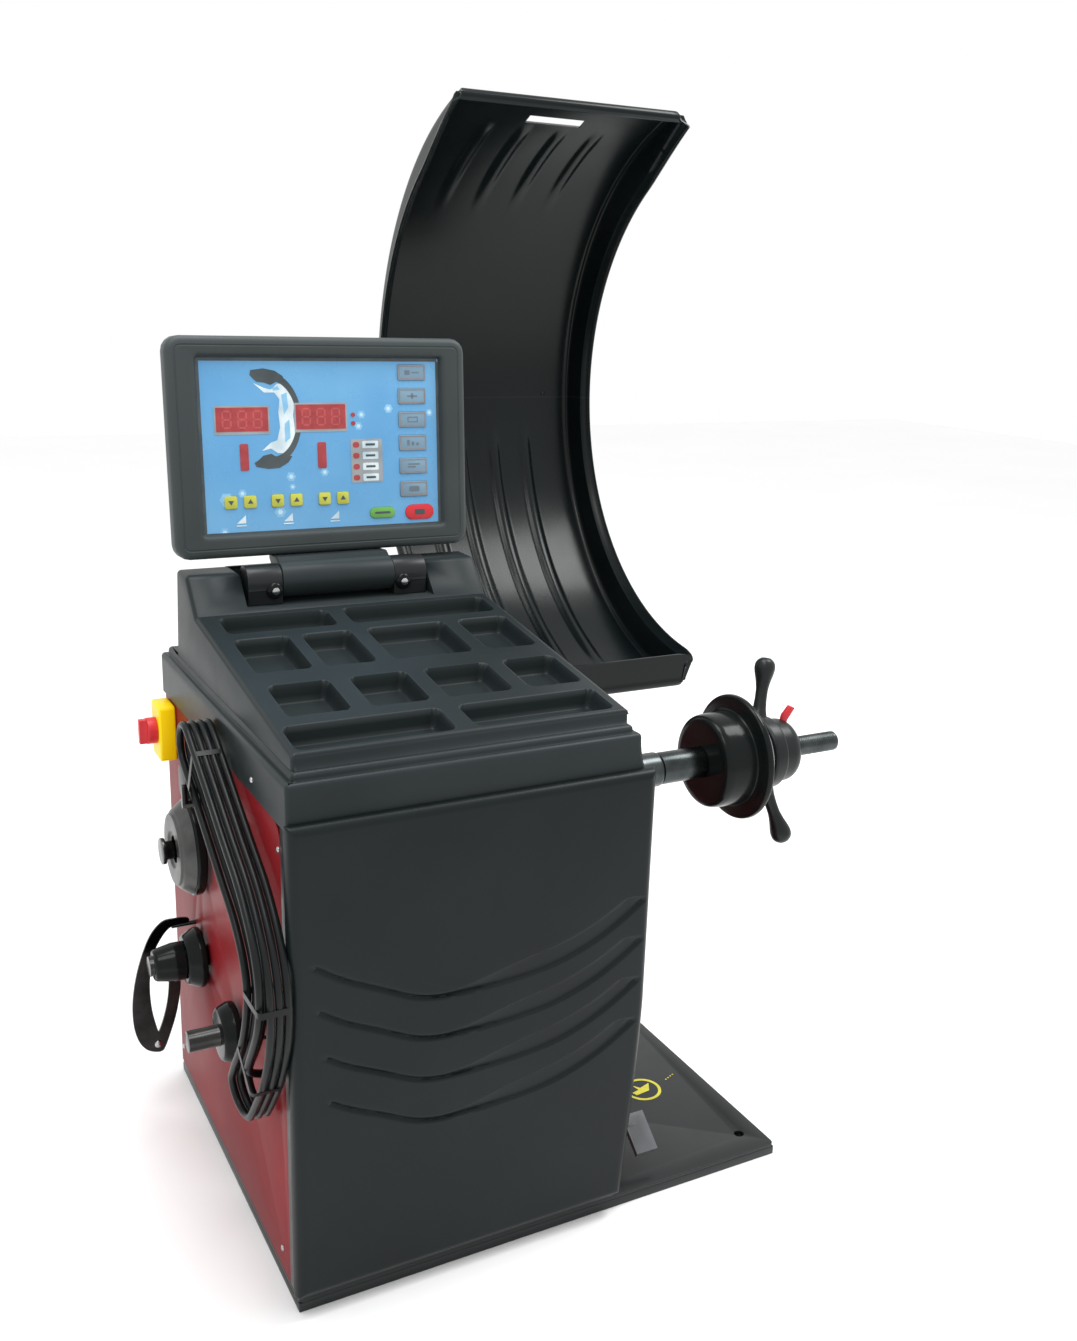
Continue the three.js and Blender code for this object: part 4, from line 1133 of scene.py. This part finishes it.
def make_caliper():
    """A rim width caliper: two curved flat arms joined by a domed rivet at their foot."""
    outer = [(-290, 402), (-312, 405), (-336, 402), (-360, 374), (-381, 318), (-392, 262), (-393, 215),
             (-386, 180), (-372, 158), (-353, 149), (-341, 153), (-345, 172), (-353, 200), (-360, 240),
             (-361, 290), (-353, 340), (-339, 370), (-320, 390), (-290, 394)]
    inner = [(-366, 154), (-344, 147), (-328, 180), (-314, 225), (-306, 275), (-309, 322), (-318, 326),
             (-328, 318), (-327, 280), (-333, 235), (-347, 190), (-364, 164)]
    for name, node, outline, front in (("caliper_outer", "caliper_arm_outer", outer, 204.0),
                                       ("caliper_inner", "caliper_arm_inner", inner, 208.3)):
        bm = bmesh.new()
        add_plate(bm, [(x * MM, z * MM) for x, z in smooth_closed(outline)], front * MM, (front + 4) * MM)
        edges = [e for e in bm.edges if len(e.link_faces) == 2 and e.calc_face_angle(0) > math.radians(60)]
        bevel_edges(bm, edges, 0.0011, 2)
        new_piece(name, bm, "dark_steel", BODY_OF[node], [node])
    rivet = bmesh.new()
    add_dome(rivet, Vector((-352, 204, 165)) * MM, Vector((-352, 190, 165)) * MM, 7)
    add_dome(rivet, Vector((-352, 212.2, 165)) * MM, Vector((-352, 230, 165)) * MM, 7)
    new_piece("caliper_rivet", rivet, "bright_steel", BODY_OF["caliper_arm_outer"])


def make_base_mark():
    """A plain painted ring with an arrow on the base plate, and a row of dots beside it."""
    centre = (488, -120)
    low, top = 22.82, 22.8 + 0.35
    outer, inner = 36, 30
    bm = bmesh.new()
    steps = 48
    rings = []
    for radius, z in ((outer, low), (outer, top), (inner, top), (inner, low)):
        rings.append([bm.verts.new(Vector((centre[0] + radius * math.cos(2 * math.pi * i / steps),
                                           centre[1] + radius * math.sin(2 * math.pi * i / steps), z)) * MM)
                      for i in range(steps)])
    tube_faces(bm, rings, closed=True)
    arrow = [(-20, -12), (10, -8), (22, 14), (-2, 6), (-12, 20), (-8, 2), (-24, -2)]
    dots = []
    for k in range(4):
        x, y = 58 + 7 * k, 8 + 3 * k
        dots.append([(x, y), (x + 3, y), (x + 3, y + 3), (x, y + 3)])
    for outline in [arrow, *dots]:
        foot, face = [[bm.verts.new(Vector((centre[0] + x, centre[1] + y, z)) * MM) for x, y in outline]
                      for z in (low, top)]
        bm.faces.new(face)
        bm.faces.new(list(reversed(foot)))
        tube_faces(bm, [foot, face])
    new_piece("base_mark", bm, "yellow_print", "machine")


def make_cabinet():
    make_tray_shell()
    for node, width in (("cabinet_body", 0.0015), ("base_plate", 0.0015), ("base_frame", 0.0015),
                        ("side_panel_left", 0.001), ("side_panel_right", 0.001), ("rear_panel", 0.0008)):
        softened(node, width, 2)
    softened("foot_pedal", 0.002)
    make_front_cover()
    make_deck()
    make_base_mark()


def make_room():
    """A pale floor, a white world and three soft lights."""
    bm = bmesh.new()
    size = 12.0
    corners = [(-size, -size, 0), (size, -size, 0), (size, size, 0), (-size, size, 0)]
    bm.faces.new([bm.verts.new(c) for c in corners])
    mesh = bpy.data.meshes.new("floor")
    bm.to_mesh(mesh)
    bm.free()
    floor = bpy.data.objects.new("floor", mesh)
    mesh.materials.append(MATERIALS["floor"])
    bpy.context.scene.collection.objects.link(floor)
    world = bpy.data.worlds.new("studio")
    bpy.context.scene.world = world
    world.use_nodes = True
    world.node_tree.nodes["Background"].inputs["Color"].default_value = (1, 1, 1, 1)
    world.node_tree.nodes["Background"].inputs["Strength"].default_value = 1.0
    bpy.context.scene.view_settings.view_transform = "Standard"
    lights = [((-1.2, -1.6, 4.2), (0.1, -0.1, 0.7), 1.4, 40), ((2.5, -0.4, 3.8), (0.4, 0.2, 0.9), 1.4, 75),
              ((0.0, 0.2, 4.4), (0.2, 0.0, 0.9), 1.8, 85)]
    for i, (at, towards, size, power) in enumerate(lights):
        data = bpy.data.lights.new(f"softbox_{i + 1}", "AREA")
        data.energy = power
        data.size = size
        light = bpy.data.objects.new(f"softbox_{i + 1}", data)
        light.matrix_world = (Matrix.Translation(at)
                              @ (Vector(towards) - Vector(at)).to_track_quat("-Z", "Y").to_matrix().to_4x4())
        bpy.context.scene.collection.objects.link(light)


for node, piece in frame["nodes"].items():
    piece.data.materials.clear()
    piece.data.materials.append(MATERIALS[SLOT_OF[node]])

make_camera()
make_cable()
make_cabinet()
make_hood()
make_spindle()
make_cones()
make_display()
make_left_side()
make_room()
